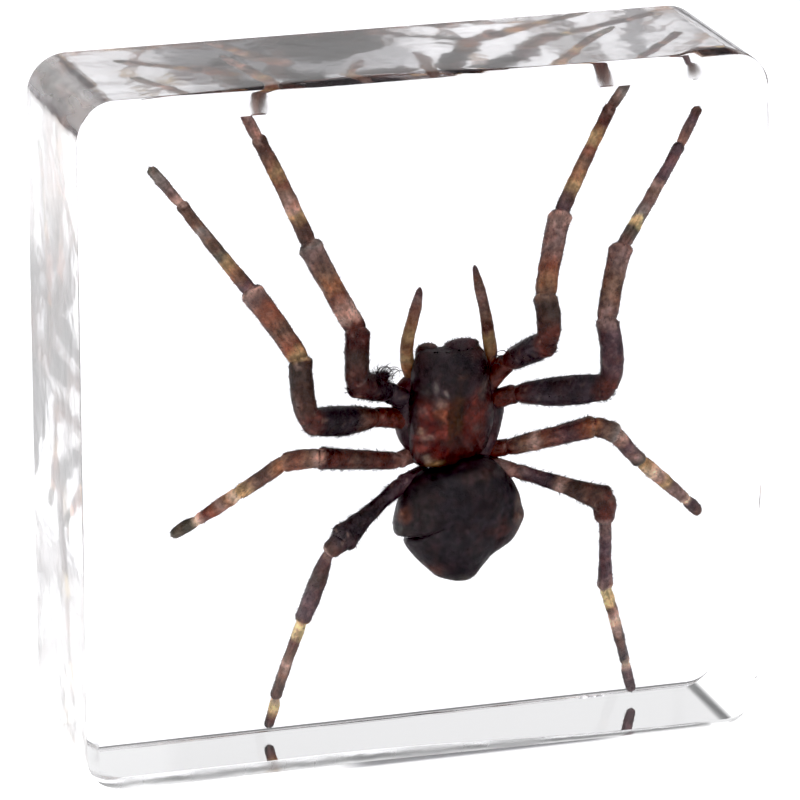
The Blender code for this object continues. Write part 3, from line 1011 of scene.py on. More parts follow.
LEGS = (
    Leg("left_leg_1", ((1.8, 4.2, 37.0), (-2.2, 2.5, 38.9), (-6.6, -2.5, 41.1), (-6.2, -1.0, 46.7),
                       (-10.7, 2.5, 55.8), (-15.5, 6.5, 67.1), (-17.3, 7.8, 71.2)), FIRST_LEG_WIDTHS,
        ((1.0, Tint.COAL), (1.6, Tint.SOOT), (2.0, Tint.OXBLOOD), (2.5, Tint.BISTRE),
         (2.7, Tint.OXBLOOD), (2.95, Tint.OXBLOOD), (3.05, Tint.MAROON), (3.12, Tint.ROSE),
         (3.28, Tint.ROSE), (3.38, Tint.RUSSET), (3.52, Tint.CHESTNUT), (3.68, Tint.BARK),
         (3.9, Tint.MAUVE), (3.99, Tint.SMOKE), (4.02, Tint.UMBER), (4.18, Tint.UMBER),
         (4.26, Tint.TAN), (4.34, Tint.ROSE), (4.5, Tint.BARK), (4.58, Tint.RUSSET), (4.66, Tint.TAN),
         (4.76, Tint.BARK), (4.88, Tint.UMBER), (4.98, Tint.UMBER), (5.03, Tint.ROSE),
         (5.3, Tint.MAUVE), (5.7, Tint.MAUVE), (6.0, Tint.COAL))),
    Leg("left_leg_2", ((1.2, 4.4, 35.0), (-3.6, 2.5, 36.2), (-11.8, -2.5, 37.5), (-12.4, -1.0, 44.0),
                       (-17.1, 2.5, 51.3), (-23.9, 6.0, 60.7), (-26.9, 7.5, 64.5)), SECOND_LEG_WIDTHS,
        ((1.0, Tint.MAROON), (1.3, Tint.UMBER), (1.42, Tint.SOOT), (1.85, Tint.SOOT),
         (2.0, Tint.MAROON), (2.2, Tint.UMBER), (2.6, Tint.BISTRE), (2.97, Tint.BISTRE),
         (3.06, Tint.TAN), (3.2, Tint.RUSSET), (3.4, Tint.BARK), (3.6, Tint.RUSSET),
         (3.75, Tint.RUSSET), (3.9, Tint.MAUVE), (3.99, Tint.ROSE), (4.02, Tint.PLUM),
         (4.14, Tint.UMBER), (4.24, Tint.CHESTNUT), (4.34, Tint.TAN), (4.42, Tint.OLIVE),
         (4.6, Tint.BARK), (4.68, Tint.SMOKE), (4.76, Tint.BARK), (4.97, Tint.UMBER), (5.03, Tint.ROSE),
         (5.3, Tint.MAUVE), (5.75, Tint.SMOKE), (6.0, Tint.OLIVE)), {"femur": 0.1, "patella": 0.25}),
    Leg("left_leg_3", ((1.6, 4.6, 31.6), (-0.9, 3.5, 30.9), (-10.0, 0.5, 32.7), (-13.7, 2.0, 32.3),
                       (-18.1, 5.0, 28.8), (-22.3, 7.0, 25.7), (-25.0, 7.8, 24.1)), THIRD_LEG_WIDTHS,
        ((1.0, Tint.MAUVE), (1.2, Tint.MAROON), (1.6, Tint.UMBER), (1.9, Tint.MAROON),
         (1.97, Tint.OXBLOOD), (2.03, Tint.ROSE), (2.25, Tint.BARK), (2.6, Tint.RUSSET),
         (2.9, Tint.BARK), (3.1, Tint.CHESTNUT), (3.35, Tint.UMBER), (3.65, Tint.BARK),
         (3.85, Tint.TAN), (4.0, Tint.TAN), (4.12, Tint.SHELL), (4.25, Tint.CHESTNUT),
         (4.45, Tint.ROSE), (4.6, Tint.RUSSET), (4.8, Tint.MAROON), (4.94, Tint.ROSE),
         (5.06, Tint.SHELL), (5.25, Tint.OLIVE), (6.0, Tint.OLIVE))),
    Leg("left_leg_4", ((2.2, 4.6, 29.0), (-0.6, 3.0, 28.3), (-8.0, -1.5, 23.9), (-9.4, -0.9, 22.5),
                       (-11.5, 3.5, 14.1), (-14.0, 7.0, 4.8), (-14.6, 8.2, 1.2)), LEFT_FOURTH_LEG_WIDTHS,
        ((1.0, Tint.PLUM), (1.3, Tint.COAL), (1.7, Tint.SOOT), (2.0, Tint.COAL), (2.9, Tint.UMBER),
         (3.0, Tint.ROSE), (3.07, Tint.PLUM), (3.3, Tint.BISTRE), (3.65, Tint.PLUM), (3.9, Tint.PLUM),
         (3.99, Tint.UMBER), (4.03, Tint.STRAW), (4.2, Tint.STRAW), (4.28, Tint.MAROON),
         (4.45, Tint.BARK), (4.56, Tint.ROSE), (4.66, Tint.BARK), (4.85, Tint.UMBER),
         (4.98, Tint.UMBER), (5.04, Tint.SHELL), (5.25, Tint.STRAW), (5.5, Tint.TAN),
         (5.7, Tint.MAROON), (6.0, Tint.SOOT))),
    Leg("right_leg_1", ((8.0, 4.2, 37.6), (11.1, 2.5, 41.0), (14.6, -2.5, 43.7), (14.5, -1.0, 48.6),
                        (16.9, 2.5, 56.8), (23.3, 6.5, 67.4), (26.0, 7.3, 71.0)), RIGHT_FIRST_LEG_WIDTHS,
        ((1.0, Tint.MAROON), (1.4, Tint.COAL), (1.8, Tint.COAL), (2.0, Tint.MAROON), (2.2, Tint.MAROON),
         (2.5, Tint.BISTRE), (2.8, Tint.BISTRE), (3.0, Tint.BARK), (3.15, Tint.CHESTNUT),
         (3.35, Tint.RUSSET), (3.6, Tint.MAUVE), (3.8, Tint.MAUVE), (3.98, Tint.ROSE),
         (4.03, Tint.PLUM), (4.17, Tint.UMBER), (4.27, Tint.TAN), (4.38, Tint.CHESTNUT),
         (4.5, Tint.BARK), (4.6, Tint.RUSSET), (4.67, Tint.TAN), (4.74, Tint.TAN), (4.82, Tint.MAROON),
         (5.0, Tint.UMBER), (5.3, Tint.SMOKE), (6.0, Tint.SMOKE)),
        {"patella": -0.25, "tibia": 0.15}),
    Leg("right_leg_2", ((8.2, 4.4, 36.0), (12.0, 2.5, 37.4), (21.5, -2.5, 38.2), (21.4, -1.0, 45.3),
                        (23.6, 1.8, 52.7), (30.9, 5.6, 62.7), (33.1, 6.7, 66.4)), SECOND_LEG_WIDTHS,
        ((1.0, Tint.MAROON), (1.25, Tint.COAL), (1.85, Tint.COAL), (2.0, Tint.MAROON), (2.3, Tint.PLUM),
         (2.8, Tint.PLUM), (2.97, Tint.MAUVE), (3.1, Tint.MAUVE), (3.3, Tint.BARK), (3.55, Tint.BARK),
         (3.8, Tint.MAUVE), (3.99, Tint.MAUVE), (4.05, Tint.UMBER), (4.18, Tint.OLIVE),
         (4.25, Tint.STRAW), (4.31, Tint.SMOKE), (4.42, Tint.MAUVE), (4.55, Tint.BARK),
         (4.61, Tint.ROSE), (4.68, Tint.PLUM), (4.95, Tint.PLUM), (4.99, Tint.COAL), (5.04, Tint.ROSE),
         (5.3, Tint.MAUVE), (5.7, Tint.PLUM), (6.0, Tint.UMBER)),
        {"femur": -0.15, "patella": -0.4, "tibia": 0.15}),
    Leg("right_leg_3", ((8.4, 4.6, 31.0), (11.4, 3.5, 31.2), (20.2, 0.0, 33.4), (22.9, 0.5, 32.2),
                        (26.3, 3.0, 28.3), (32.1, 6.0, 22.8), (33.9, 6.8, 20.9)), THIRD_LEG_WIDTHS,
        ((1.0, Tint.MAROON), (1.2, Tint.BARK), (1.34, Tint.ROSE), (1.45, Tint.RUSSET), (1.7, Tint.PLUM),
         (1.95, Tint.RUSSET), (2.05, Tint.CHESTNUT), (2.3, Tint.UMBER), (2.6, Tint.BARK),
         (2.95, Tint.SMOKE), (3.15, Tint.ROSE), (3.35, Tint.PLUM), (3.75, Tint.MAUVE),
         (3.95, Tint.OLIVE), (4.05, Tint.TAN), (4.25, Tint.SHELL), (4.38, Tint.ROSE), (4.52, Tint.TAN),
         (4.65, Tint.MAUVE), (4.92, Tint.MAUVE), (5.03, Tint.SHELL), (5.2, Tint.PLUM), (6.0, Tint.UMBER))),
    Leg("right_leg_4", ((7.8, 4.6, 30.0), (12.1, 3.0, 28.6), (21.3, -2.0, 25.4), (21.4, -1.4, 22.9),
                        (22.3, 2.5, 14.6), (25.4, 5.5, 4.8), (26.4, 6.5, 1.2)), RIGHT_FOURTH_LEG_WIDTHS,
        ((1.0, Tint.MAUVE), (1.2, Tint.PLUM), (1.4, Tint.COAL), (1.5, Tint.ROSE), (1.6, Tint.BISTRE),
         (1.9, Tint.UMBER), (2.1, Tint.MAROON), (2.7, Tint.MAROON), (2.92, Tint.MAUVE),
         (3.02, Tint.MAUVE), (3.3, Tint.PLUM), (3.8, Tint.PLUM), (3.97, Tint.MAUVE), (4.03, Tint.STRAW),
         (4.22, Tint.STRAW), (4.29, Tint.BARK), (4.37, Tint.ROSE), (4.46, Tint.SHELL),
         (4.56, Tint.ROSE), (4.64, Tint.UMBER), (4.92, Tint.COAL), (5.0, Tint.SHELL), (5.16, Tint.ROSE),
         (5.26, Tint.PLUM), (6.0, Tint.PLUM))),
)


def smooth_path(knots: np.ndarray, values: np.ndarray, places: np.ndarray) -> np.ndarray:
    """Read a smooth cubic curve that goes through values at knots.

    Args:
        knots: the places where the curve is known, rising.
        values: the curve's value at each knot.
        places: where to read it.

    Returns:
        The curve's value at each place.
    """
    slopes = np.gradient(values, knots)
    at = np.clip(np.searchsorted(knots, places, side="right") - 1, 0, len(knots) - 2)
    gap = knots[at + 1] - knots[at]
    t = (places - knots[at]) / gap
    return ((2 * t**3 - 3 * t**2 + 1) * values[at] + (t**3 - 2 * t**2 + t) * gap * slopes[at]
            + (3 * t**2 - 2 * t**3) * values[at + 1] + (t**3 - t**2) * gap * slopes[at + 1])


@dataclass(frozen=True)
class Feeler:
    """A short limb beside the head, through points (x, y, z) with a width each."""

    name: str
    points: tuple[tuple[float, float, float, float], ...]
    bands: Bands
    coat: Coat
    skin_share: float = 0.95
    tip_reach: float = 0.5
    tip_gap: float = 0.03
    wrinkle: Grain = Grain(0.05, 0.8, 5.0)
    warp: Grain = Grain(0.04, 0.6, 2.0)
    ring_step: float = 0.22
    least_rings: int = 12
    sides: int = 20

    def skin(self) -> Skin:
        """Work out the limb's skin, smooth from point to point and rounded at both ends.

        Returns:
            The skin.
        """
        stations = np.array(self.points)
        lengths = np.linalg.norm(np.diff(stations[:, :3], axis=0), axis=1)
        reach = np.concatenate([[0.0], np.cumsum(lengths)])
        count = max(self.least_rings, int(reach[-1] / self.ring_step))
        place = np.linspace(0.0, reach[-1], count)
        centre = np.stack([smooth_path(reach, stations[:, i], place) for i in range(3)], axis=1)
        ends = np.minimum(place, reach[-1] - place) + self.tip_gap
        radius = smooth_path(reach, stations[:, 3], place) / 2 * self.skin_share
        radius = radius * rounding(ends, self.tip_reach)
        along = unit(np.gradient(centre, axis=0))
        side = unit(np.cross(along, np.array(BACKWARD)))
        direction, _ = spokes(np.cross(along, side), side, self.sides)
        rings = centre[:, None] + direction * radius[:, None, None]
        rings = rings + direction * self.wrinkle.at(rings)[..., None]
        tints = colour_along(self.bands, (place / reach[-1])[:, None] + self.warp.at(rings))
        return Skin(rings, tints, self.coat)


FACE_FUZZ = Coat(8.0, (0.2, 0.42), 0.4, Tint.COAL)
PALP_FUZZ = Coat(5.0, (0.14, 0.3), 0.6, Tint.BARK)

FEELERS = (
    Feeler("left_palp", ((1.6, 4.4, 38.6, 1.6), (0.2, 3.6, 41.6, 1.6), (0.1, 3.0, 44.4, 1.5),
                         (0.6, 2.9, 46.4, 1.4), (1.1, 3.0, 48.2, 1.25), (1.5, 3.2, 50.0, 0.55)),
           ((0.0, Tint.MAROON), (0.22, Tint.CHESTNUT), (0.36, Tint.TAN), (0.46, Tint.CHESTNUT),
            (0.56, Tint.TAN), (0.66, Tint.CHESTNUT), (0.74, Tint.BARK), (0.9, Tint.MAUVE),
            (1.0, Tint.PLUM)), PALP_FUZZ),
    Feeler("right_palp", ((8.2, 4.4, 38.2, 1.6), (9.3, 3.6, 40.8, 1.6), (9.0, 3.0, 44.6, 1.5),
                          (8.6, 2.9, 47.0, 1.3), (8.1, 3.0, 49.2, 1.25), (7.5, 3.2, 51.9, 0.5)),
           ((0.0, Tint.MAROON), (0.22, Tint.EMBER), (0.3, Tint.CHESTNUT), (0.42, Tint.TAN),
            (0.5, Tint.MAROON), (0.6, Tint.BARK), (0.75, Tint.MAUVE), (0.85, Tint.BARK),
            (1.0, Tint.PLUM)), PALP_FUZZ),
    Feeler("left_jaw", ((2.6, 3.4, 39.5, 2.6), (2.4, 3.2, 41.8, 2.9), (2.3, 3.4, 43.0, 2.6),
                        (2.3, 3.6, 43.7, 2.0)),
           ((0.0, Tint.SOOT), (0.7, Tint.COAL), (1.0, Tint.UMBER)), FACE_FUZZ),
    Feeler("right_jaw", ((5.9, 3.4, 39.5, 3.6), (6.1, 3.0, 41.8, 3.9), (6.1, 3.2, 43.1, 4.1),
                         (6.1, 3.4, 43.9, 3.7)),
           ((0.0, Tint.SOOT), (0.7, Tint.COAL), (1.0, Tint.PLUM)), FACE_FUZZ),
    Feeler("left_tuft", ((-4.2, 0.8, 39.4, 1.6), (-3.4, 0.4, 40.8, 1.7), (-2.6, 0.3, 41.5, 1.0)),
           ((0.0, Tint.MAROON), (1.0, Tint.SOOT)), Coat(16.0, (0.7, 1.7), 0.35, Tint.COAL, 0.07)),
)


# --------------------------------------------------------------------------- the spider's body


@dataclass(frozen=True)
class Blot:
    """A soft-edged spot of colour on the body, at (x, z)."""

    x: float
    z: float
    size: Pair
    tint: Tint
    strength: float
    falloff: float = 1.5

    def share(self, x: np.ndarray, z: np.ndarray) -> np.ndarray:
        """Return how much of the colour at (x, z) is this blot's."""
        far = ((x - self.x) / self.size[0]) ** 2 + ((z - self.z) / self.size[1]) ** 2
        return np.exp(-(far**self.falloff)) * self.strength


@dataclass(frozen=True)
class Mound:
    """A swelling of the body's back round (x, z), or a hollow if height is below 0."""

    height: float
    x: float
    z: float
    size: Pair

    def at(self, x: np.ndarray, z: np.ndarray) -> np.ndarray:
        """Return how far the mound stands out at (x, z)."""
        far = ((x - self.x) / self.size[0]) ** 2 + ((z - self.z) / self.size[1]) ** 2
        return self.height * np.exp(-far)


@dataclass(frozen=True)
class Groove:
    """A groove in the body's back, along a line between two places (x, z)."""

    depth: float
    start: Pair
    end: Pair
    width: float

    def at(self, x: np.ndarray, z: np.ndarray) -> np.ndarray:
        """Work out how deep the groove is.

        Args:
            x: the points' places across the spider.
            z: the points' places along it.

        Returns:
            The depth at each point.
        """
        run = np.array(self.end) - np.array(self.start)
        across, up = x - self.start[0], z - self.start[1]
        share = np.clip((across * run[0] + up * run[1]) / (run @ run), 0.0, 1.0)
        far = np.hypot(across - share * run[0], up - share * run[1])
        return self.depth * np.exp(-((far / self.width) ** 2))


@dataclass(frozen=True)
class BodyPart:
    """A swollen part of the body, from its outline as (x, z) and its three depths.

    The crest is the middle of its back, the rim is its outline and the belly is the middle of
    its under side.
    """

    name: str
    outline: tuple[Pair, ...]
    crest: float
    rim: float
    belly: float
    ground: Tint
    under: Tint
    blots: tuple[Blot, ...]
    coat: Coat
    mounds: tuple[Mound, ...] = ()
    grooves: tuple[Groove, ...] = ()
    squareness: float = 2.3
    back_edge: Pair = (0.0, 0.35)
    ripples: tuple[Grain, ...] = (Grain(0.1, 1.6, 1.0), Grain(0.04, 1.1, 4.0))
    warps: tuple[Grain, Grain] = (Grain(0.5, 1.2, 6.0), Grain(0.5, 1.2, 9.0))
    mottles: tuple[Grain, ...] = (Grain(0.5, 0.6, 4.0), Grain(0.3, 0.28, 8.0))
    pole_gap: float = 0.03
    sides: int = 150
    front_rings: int = 34
    back_rings: int = 20

    def middle(self) -> Pair:
        """Return the outline's middle as (x, z)."""
        return tuple(np.array(self.outline).mean(axis=0))

    def edge(self) -> np.ndarray:
        """Work out the smooth closed curve through the outline.

        Returns:
            Rows of (x, z).
        """
        corners = np.array(self.outline)
        count = len(corners)
        place = np.linspace(0.0, count, self.sides, endpoint=False)
        at = place.astype(int)
        t = (place - at)[:, None]
        before, here, after, beyond = (corners[(at + i) % count] for i in (-1, 0, 1, 2))
        return 0.5 * (2 * here + (after - before) * t + (2 * before - 5 * here + 4 * after - beyond) * t**2
                      + (3 * here - before - 3 * after + beyond) * t**3)

    def relief(self, x: np.ndarray, z: np.ndarray) -> np.ndarray:
        """Return how far the back stands out at (x, z)."""
        raised = sum((mound.at(x, z) for mound in self.mounds), np.zeros_like(x))
        return raised - sum(groove.at(x, z) for groove in self.grooves)

    def skin(self) -> Skin:
        """Work out the part's skin, from the middle of its back round to the middle of its belly.

        Returns:
            The skin, whose bristles point to the spider's rear.
        """
        back = np.linspace(self.pole_gap, 0.5, self.front_rings, endpoint=False)
        swing = np.concatenate([back, np.linspace(0.5, 1.0 - self.pole_gap, self.back_rings)]) * math.pi
        reach = np.sin(swing) ** (2.0 / self.squareness)
        height = np.cos(swing)
        lift = np.where(height > 0, (self.crest - self.rim), (self.rim - self.belly)) * np.abs(height)
        depth = self.rim + np.where(height > 0, lift, -lift)
        x0, z0 = self.middle()
        edge = self.edge() - np.array((x0, z0))
        x = x0 + edge[None, :, 0] * reach[:, None]
        z = z0 + edge[None, :, 1] * reach[:, None]
        y = np.tile(depth[:, None], (1, self.sides))
        on_back = ramp(height, *self.back_edge)[:, None]
        y = y - self.relief(x, z) * on_back
        rings = np.stack([x, y, z], axis=-1)
        outward = unit(rings - np.array((x0, self.rim, z0)))
        rings = rings + outward * sum(ripple.at(rings) for ripple in self.ripples)[..., None]
        return Skin(rings, self.colours(rings, on_back), self.coat, (0.0, 0.0, -1.0))

    def colours(self, rings: np.ndarray, on_back: np.ndarray) -> np.ndarray:
        """Colour the back with its ground and blots, and the under side with one colour.

        Args:
            rings: the rings of points.
            on_back: for each ring, 1 on the back and 0 on the under side.

        Returns:
            A linear colour for each point.
        """
        x, z = (rings[..., axis] + warp.at(rings) for axis, warp in zip((0, 2), self.warps))
        tints = np.tile(self.ground.rgb, (*x.shape, 1))
        for blot in self.blots:
            share = blot.share(x, z)[..., None]
            tints = tints * (1.0 - share) + blot.tint.rgb * share
        tints = tints * (1.0 + sum(mottle.at(rings) for mottle in self.mottles))[..., None]
        top = on_back[..., None]
        return tints * top + self.under.rgb * (1.0 - top)


# The middle of the pit in the thorax, as (x, z).
PIT = (5.0, 34.6)


def thorax_grooves() -> tuple[Groove, ...]:
    """Lay out the grooves of the thorax, alike on both sides.

    Returns:
        The pit itself, the neck furrow and the rays that run out from the pit.
    """
    x, z = PIT
    grooves = [Groove(depth=0.35, start=(x, z - 0.9), end=(x, z + 1.0), width=0.4)]
    for side in (-1, 1):
        furrow_start, furrow_end = (x + side * 0.6, z + 1.2), (x + side * 4.0, z + 4.6)
        grooves.append(Groove(depth=0.38, start=furrow_start, end=furrow_end, width=0.5))
        for reach, rise in ((4.2, 1.6), (4.1, -1.1), (2.8, -3.4)):
            ray_start, ray_end = (x + side * 0.7, z), (x + side * reach, z + rise)
            grooves.append(Groove(depth=0.12, start=ray_start, end=ray_end, width=0.42))
    return tuple(grooves)


@dataclass(frozen=True)
class Carapace(BodyPart):
    """The shield over head and thorax, with paler and darker rays of colour from its pit."""

    ray_strength: float = 0.55
    ray_grain: float = 0.42
    rays_around: float = 2.4
    rays_along: float = 0.3
    least_distance: float = 0.3
    darkest_ray: float = 0.2

    def colours(self, rings: np.ndarray, on_back: np.ndarray) -> np.ndarray:
        """Colour the part as any other, and then lay the rays over it.

        Args:
            rings: the rings of points.
            on_back: for each ring, 1 on the back and 0 on the under side.

        Returns:
            A linear colour for each point.
        """
        away = rings[..., ::2] - np.array(PIT)
        far = np.linalg.norm(away, axis=-1, keepdims=True)
        around = self.rays_around * away / np.maximum(far, self.least_distance)
        unrolled = np.concatenate([around, self.rays_along * far], axis=-1)
        rays = 1.0 + self.ray_strength * roughen(unrolled, self.ray_grain, 3.0)
        return super().colours(rings, on_back) * np.maximum(rays, self.darkest_ray)[..., None]


CARAPACE = Carapace(
    "carapace",
    ((0.9, 30.6), (0.2, 33.0), (0.0, 35.8), (0.3, 38.8), (0.6, 41.6), (1.7, 43.2), (4.4, 43.3), (7.5, 43.3),
     (8.8, 41.6), (9.2, 38.8), (9.5, 35.8), (9.2, 33.2), (8.0, 31.0), (4.4, 29.9)),
    # The near-black under side is partly the under side's own colour and partly painted shade on the
    # shield's flanks.
    crest=-0.35, rim=2.6, belly=5.2, squareness=2.1, ground=Tint.OXBLOOD, under=Tint.SOOT,
    mounds=(Mound(0.75, 5.0, 40.0, (3.2, 3.4)),),
    grooves=thorax_grooves(),
    blots=(
        Blot(6.6, 35.2, (2.4, 3.6), Tint.EMBER, 0.8),
        Blot(2.7, 35.2, (2.0, 3.2), Tint.EMBER, 0.95),
        Blot(4.6, 41.2, (5.4, 3.0), Tint.SOOT, 1.0),
        Blot(4.6, 38.9, (4.6, 1.5), Tint.SOOT, 0.88),
        Blot(1.6, 37.0, (0.8, 1.0), Tint.BRICK, 0.8),
        Blot(3.4, 36.4, (0.75, 1.3), Tint.AMBER, 0.78),
        Blot(3.0, 37.4, (0.6, 0.5), Tint.ROSE, 0.6),
        Blot(3.6, 34.2, (0.8, 1.2), Tint.BRICK, 0.9),
        Blot(1.3, 34.5, (0.5, 0.4), Tint.SHELL, 0.5),
        Blot(2.0, 33.8, (0.7, 0.4), Tint.ROSE, 0.6),
        Blot(1.2, 32.6, (0.8, 0.6), Tint.BRICK, 0.8),
        Blot(3.0, 32.2, (1.3, 0.8), Tint.EMBER, 0.9),
        Blot(5.1, 36.0, (0.7, 3.0), Tint.SEPIA, 0.9),
        Blot(4.3, 35.4, (0.3, 2.8), Tint.SEPIA, 0.8),
        Blot(1.3, 36.8, (0.6, 0.6), Tint.MAUVE, 0.5),
        Blot(7.4, 36.0, (1.4, 2.6), Tint.MAROON, 0.6),
        Blot(7.2, 37.4, (0.7, 1.2), Tint.BRICK, 0.6),
        Blot(8.0, 38.6, (0.5, 0.9), Tint.SMOKE, 0.45),
        Blot(6.7, 35.6, (0.9, 0.8), Tint.BRICK, 0.6),
        Blot(7.3, 34.4, (0.6, 0.5), Tint.ROSE, 0.35),
        Blot(7.9, 36.0, (0.5, 0.6), Tint.BRICK, 0.5),
        Blot(6.2, 32.4, (1.2, 0.9), Tint.MAROON, 0.7),
        # Near-black strips down both side edges: partly the shield's dark margin, partly painted shade on
        # its rim.
        Blot(9.0, 34.2, (0.8, 2.6), Tint.COAL, 0.85),
        Blot(0.2, 36.4, (0.5, 3.0), Tint.COAL, 0.85),
        # These three small grey spots on the head are painted sheen.
        Blot(1.6, 39.0, (0.5, 0.5), Tint.SMOKE, 0.35),
        Blot(2.5, 39.4, (0.3, 0.7), Tint.SMOKE, 0.4),
        Blot(3.8, 38.8, (0.3, 0.6), Tint.SMOKE, 0.4),
        Blot(5.6, 40.6, (0.4, 0.5), Tint.UMBER, 0.6),
        Blot(2.7, 30.5, (1.1, 0.5), Tint.TAN, 0.8),
        Blot(1.9, 31.2, (0.4, 0.4), Tint.SHELL, 0.5),
    ),
    coat=Coat(4.5, (0.2, 0.45), 0.65, Tint.UMBER, 0.035),
)
HIP_PLATE = BodyPart(
    "hip_plate",
    ((-1.2, 38.4), (-1.5, 36.4), (-1.0, 34.0), (0.0, 32.0), (1.3, 30.2), (4.4, 29.5), (8.5, 29.6),
     (9.9, 31.0), (10.6, 33.4), (11.0, 35.5), (10.5, 37.6), (9.2, 39.6), (6.5, 41.0), (2.5, 41.0),
     (-0.2, 40.0)),
    crest=1.6, rim=4.0, belly=6.6, ground=Tint.PLUM, under=Tint.UMBER,
    blots=(Blot(-0.4, 39.6, (0.9, 0.9), Tint.EMBER, 0.8), Blot(9.6, 39.4, (0.9, 0.9), Tint.EMBER, 0.7),
           Blot(-0.8, 35.6, (0.8, 2.4), Tint.COAL, 0.9), Blot(10.2, 35.0, (0.9, 2.6), Tint.COAL, 0.8)),
    coat=Coat(3.0, (0.2, 0.4), 0.6, Tint.COAL),
)
ABDOMEN = BodyPart(
    "abdomen",
    ((0.0, 28.4), (-1.0, 26.6), (-1.5, 24.2), (-1.3, 22.8), (0.1, 22.4), (-0.3, 21.7), (1.4, 19.4),
     (3.4, 17.6), (5.6, 16.8), (7.4, 17.2), (9.3, 19.2), (11.7, 20.9), (13.0, 23.2), (12.8, 24.9),
     (12.2, 26.9), (10.8, 28.9), (9.0, 30.6), (6.4, 31.1), (4.4, 30.2), (1.8, 29.6)),
    crest=-1.2, rim=3.0, belly=6.9, ground=Tint.PITCH, under=Tint.SOOT,
    mounds=(Mound(1.3, 7.4, 29.6, (2.2, 1.3)), Mound(0.7, 4.6, 29.4, (1.4, 0.9)),
            Mound(-0.5, 4.6, 25.5, (2.2, 2.6)), Mound(-0.4, 8.2, 21.5, (1.8, 2.0))),
    grooves=(Groove(0.35, (0.0, 22.4), (0.9, 22.7), 0.35), Groove(0.3, (0.9, 28.0), (1.3, 23.6), 0.4),
             Groove(0.22, (10.8, 27.0), (9.0, 19.5), 0.5)),
    blots=(
        Blot(-0.6, 25.3, (0.7, 0.9), Tint.RUSSET, 0.85),
        Blot(-0.9, 23.4, (0.6, 0.6), Tint.OLIVE, 0.6),
        Blot(2.6, 18.6, (1.2, 1.0), Tint.RUSSET, 0.6),
        Blot(5.6, 17.4, (2.0, 0.6), Tint.OLIVE, 0.6),
        Blot(10.0, 22.6, (1.4, 1.4), Tint.MAROON, 0.5),
        Blot(12.4, 24.4, (0.7, 2.6), Tint.BARK, 0.6),
        Blot(7.4, 29.3, (2.2, 1.0), Tint.UMBER, 0.3),
        Blot(5.4, 19.6, (5.0, 2.6), Tint.SOOT, 0.7),
        Blot(1.0, 25.6, (1.8, 3.2), Tint.BISTRE, 0.35),
    ),
    coat=Coat(3.0, (0.2, 0.42), 0.7, Tint.SOOT, 0.035),
)
BODY_PARTS = (CARAPACE, HIP_PLATE, ABDOMEN)


@dataclass(frozen=True)
class Curl:
    """A curled bristle: a thin tube along part of a circle in the plane of the front face."""

    root: Point
    radius: float
    start_turn: float
    sweep: float
    shrinking: float = 0.3
    rise: float = 0.3
    thickness: float = 0.13
    thinning: float = 0.75
    tint: Tint = Tint.COAL
    steps: int = 20
    sides: int = 6

    def skin(self) -> Skin:
        """Work out the curl's skin, thinning to its tip.

        Returns:
            The skin, which has no bristles of its own.
        """
        share = np.linspace(0.0, 1.0, self.steps)
        turn = np.radians(self.start_turn + self.sweep * share)
        shrink = self.radius * (1.0 - self.shrinking * share)
        first = math.radians(self.start_turn)
        x = self.root[0] - self.radius * math.cos(first) + shrink * np.cos(turn)
        z = self.root[2] - self.radius * math.sin(first) + shrink * np.sin(turn)
        centre = np.stack([x, self.root[1] - self.rise * share, z], axis=1)
        along = unit(np.gradient(centre, axis=0))
        side = np.tile(np.array(BACKWARD), (self.steps, 1))
        direction, _ = spokes(np.cross(along, side), side, self.sides)
        radius = self.thickness / 2 * (1.0 - self.thinning * share)
        rings = centre[:, None] + direction * radius[:, None, None]
        return Skin(rings, np.tile(self.tint.rgb, (self.steps, self.sides, 1)))


TUFT = (
    Curl((-3.9, -0.2, 41.2), 0.95, 200.0, -260.0),
    Curl((-3.5, -0.1, 41.6), 0.6, 190.0, -240.0),
    Curl((-3.1, -0.2, 41.3), 1.1, 180.0, -160.0),
    Curl((-2.6, 0.0, 41.4), 0.7, 170.0, -220.0),
    Curl((-2.2, 0.1, 40.8), 1.0, 185.0, -130.0),
    Curl((-4.3, 0.1, 40.4), 1.2, 200.0, -150.0),
    Curl((-4.9, 0.0, 40.9), 0.7, 210.0, -230.0),
    Curl((10.3, 1.4, 41.6), 0.8, 20.0, 190.0),
    Curl((10.9, 1.2, 42.0), 0.9, 10.0, 170.0),
    Curl((10.1, 1.6, 40.9), 0.7, 30.0, 170.0),
)


@dataclass(frozen=True)
class Eyes:
    """Eight eyes in two rows on the front of the head, as (x, z, size)."""

    places: tuple[Point, ...] = (
        (3.2, 43.6, 0.22), (4.2, 43.7, 0.28), (5.4, 43.7, 0.28), (6.4, 43.6, 0.22),
        (2.8, 43.2, 0.22), (4.0, 43.3, 0.24), (5.6, 43.3, 0.24), (6.8, 43.2, 0.22))
    pole_gap: float = 0.08
    rings: int = 9
    sides: int = 14

    def skins(self, head: Skin) -> list[Skin]:
        """Set a bead for each eye on the nearest point of the head's skin.

        Args:
            head: the skin of the head and thorax.

        Returns:
            The beads' skins.
        """
        ground = head.rings[: len(head.rings) // 2].reshape(-1, 3)
        swing = np.linspace(self.pole_gap, math.pi - self.pole_gap, self.rings)
        angle = np.linspace(0.0, 2.0 * math.pi, self.sides, endpoint=False)
        across = np.outer(np.sin(swing), np.cos(angle))
        deep = np.tile(-np.cos(swing)[:, None], (1, self.sides))
        bead = np.stack([across, deep, np.outer(np.sin(swing), np.sin(angle))], axis=-1)
        tints = np.zeros_like(bead)
        skins = []
        for x, z, size in self.places:
            spot = ground[np.argmin(np.hypot(ground[:, 0] - x, ground[:, 2] - z))]
            skins.append(Skin(spot + bead * size / 2, tints))
        return skins


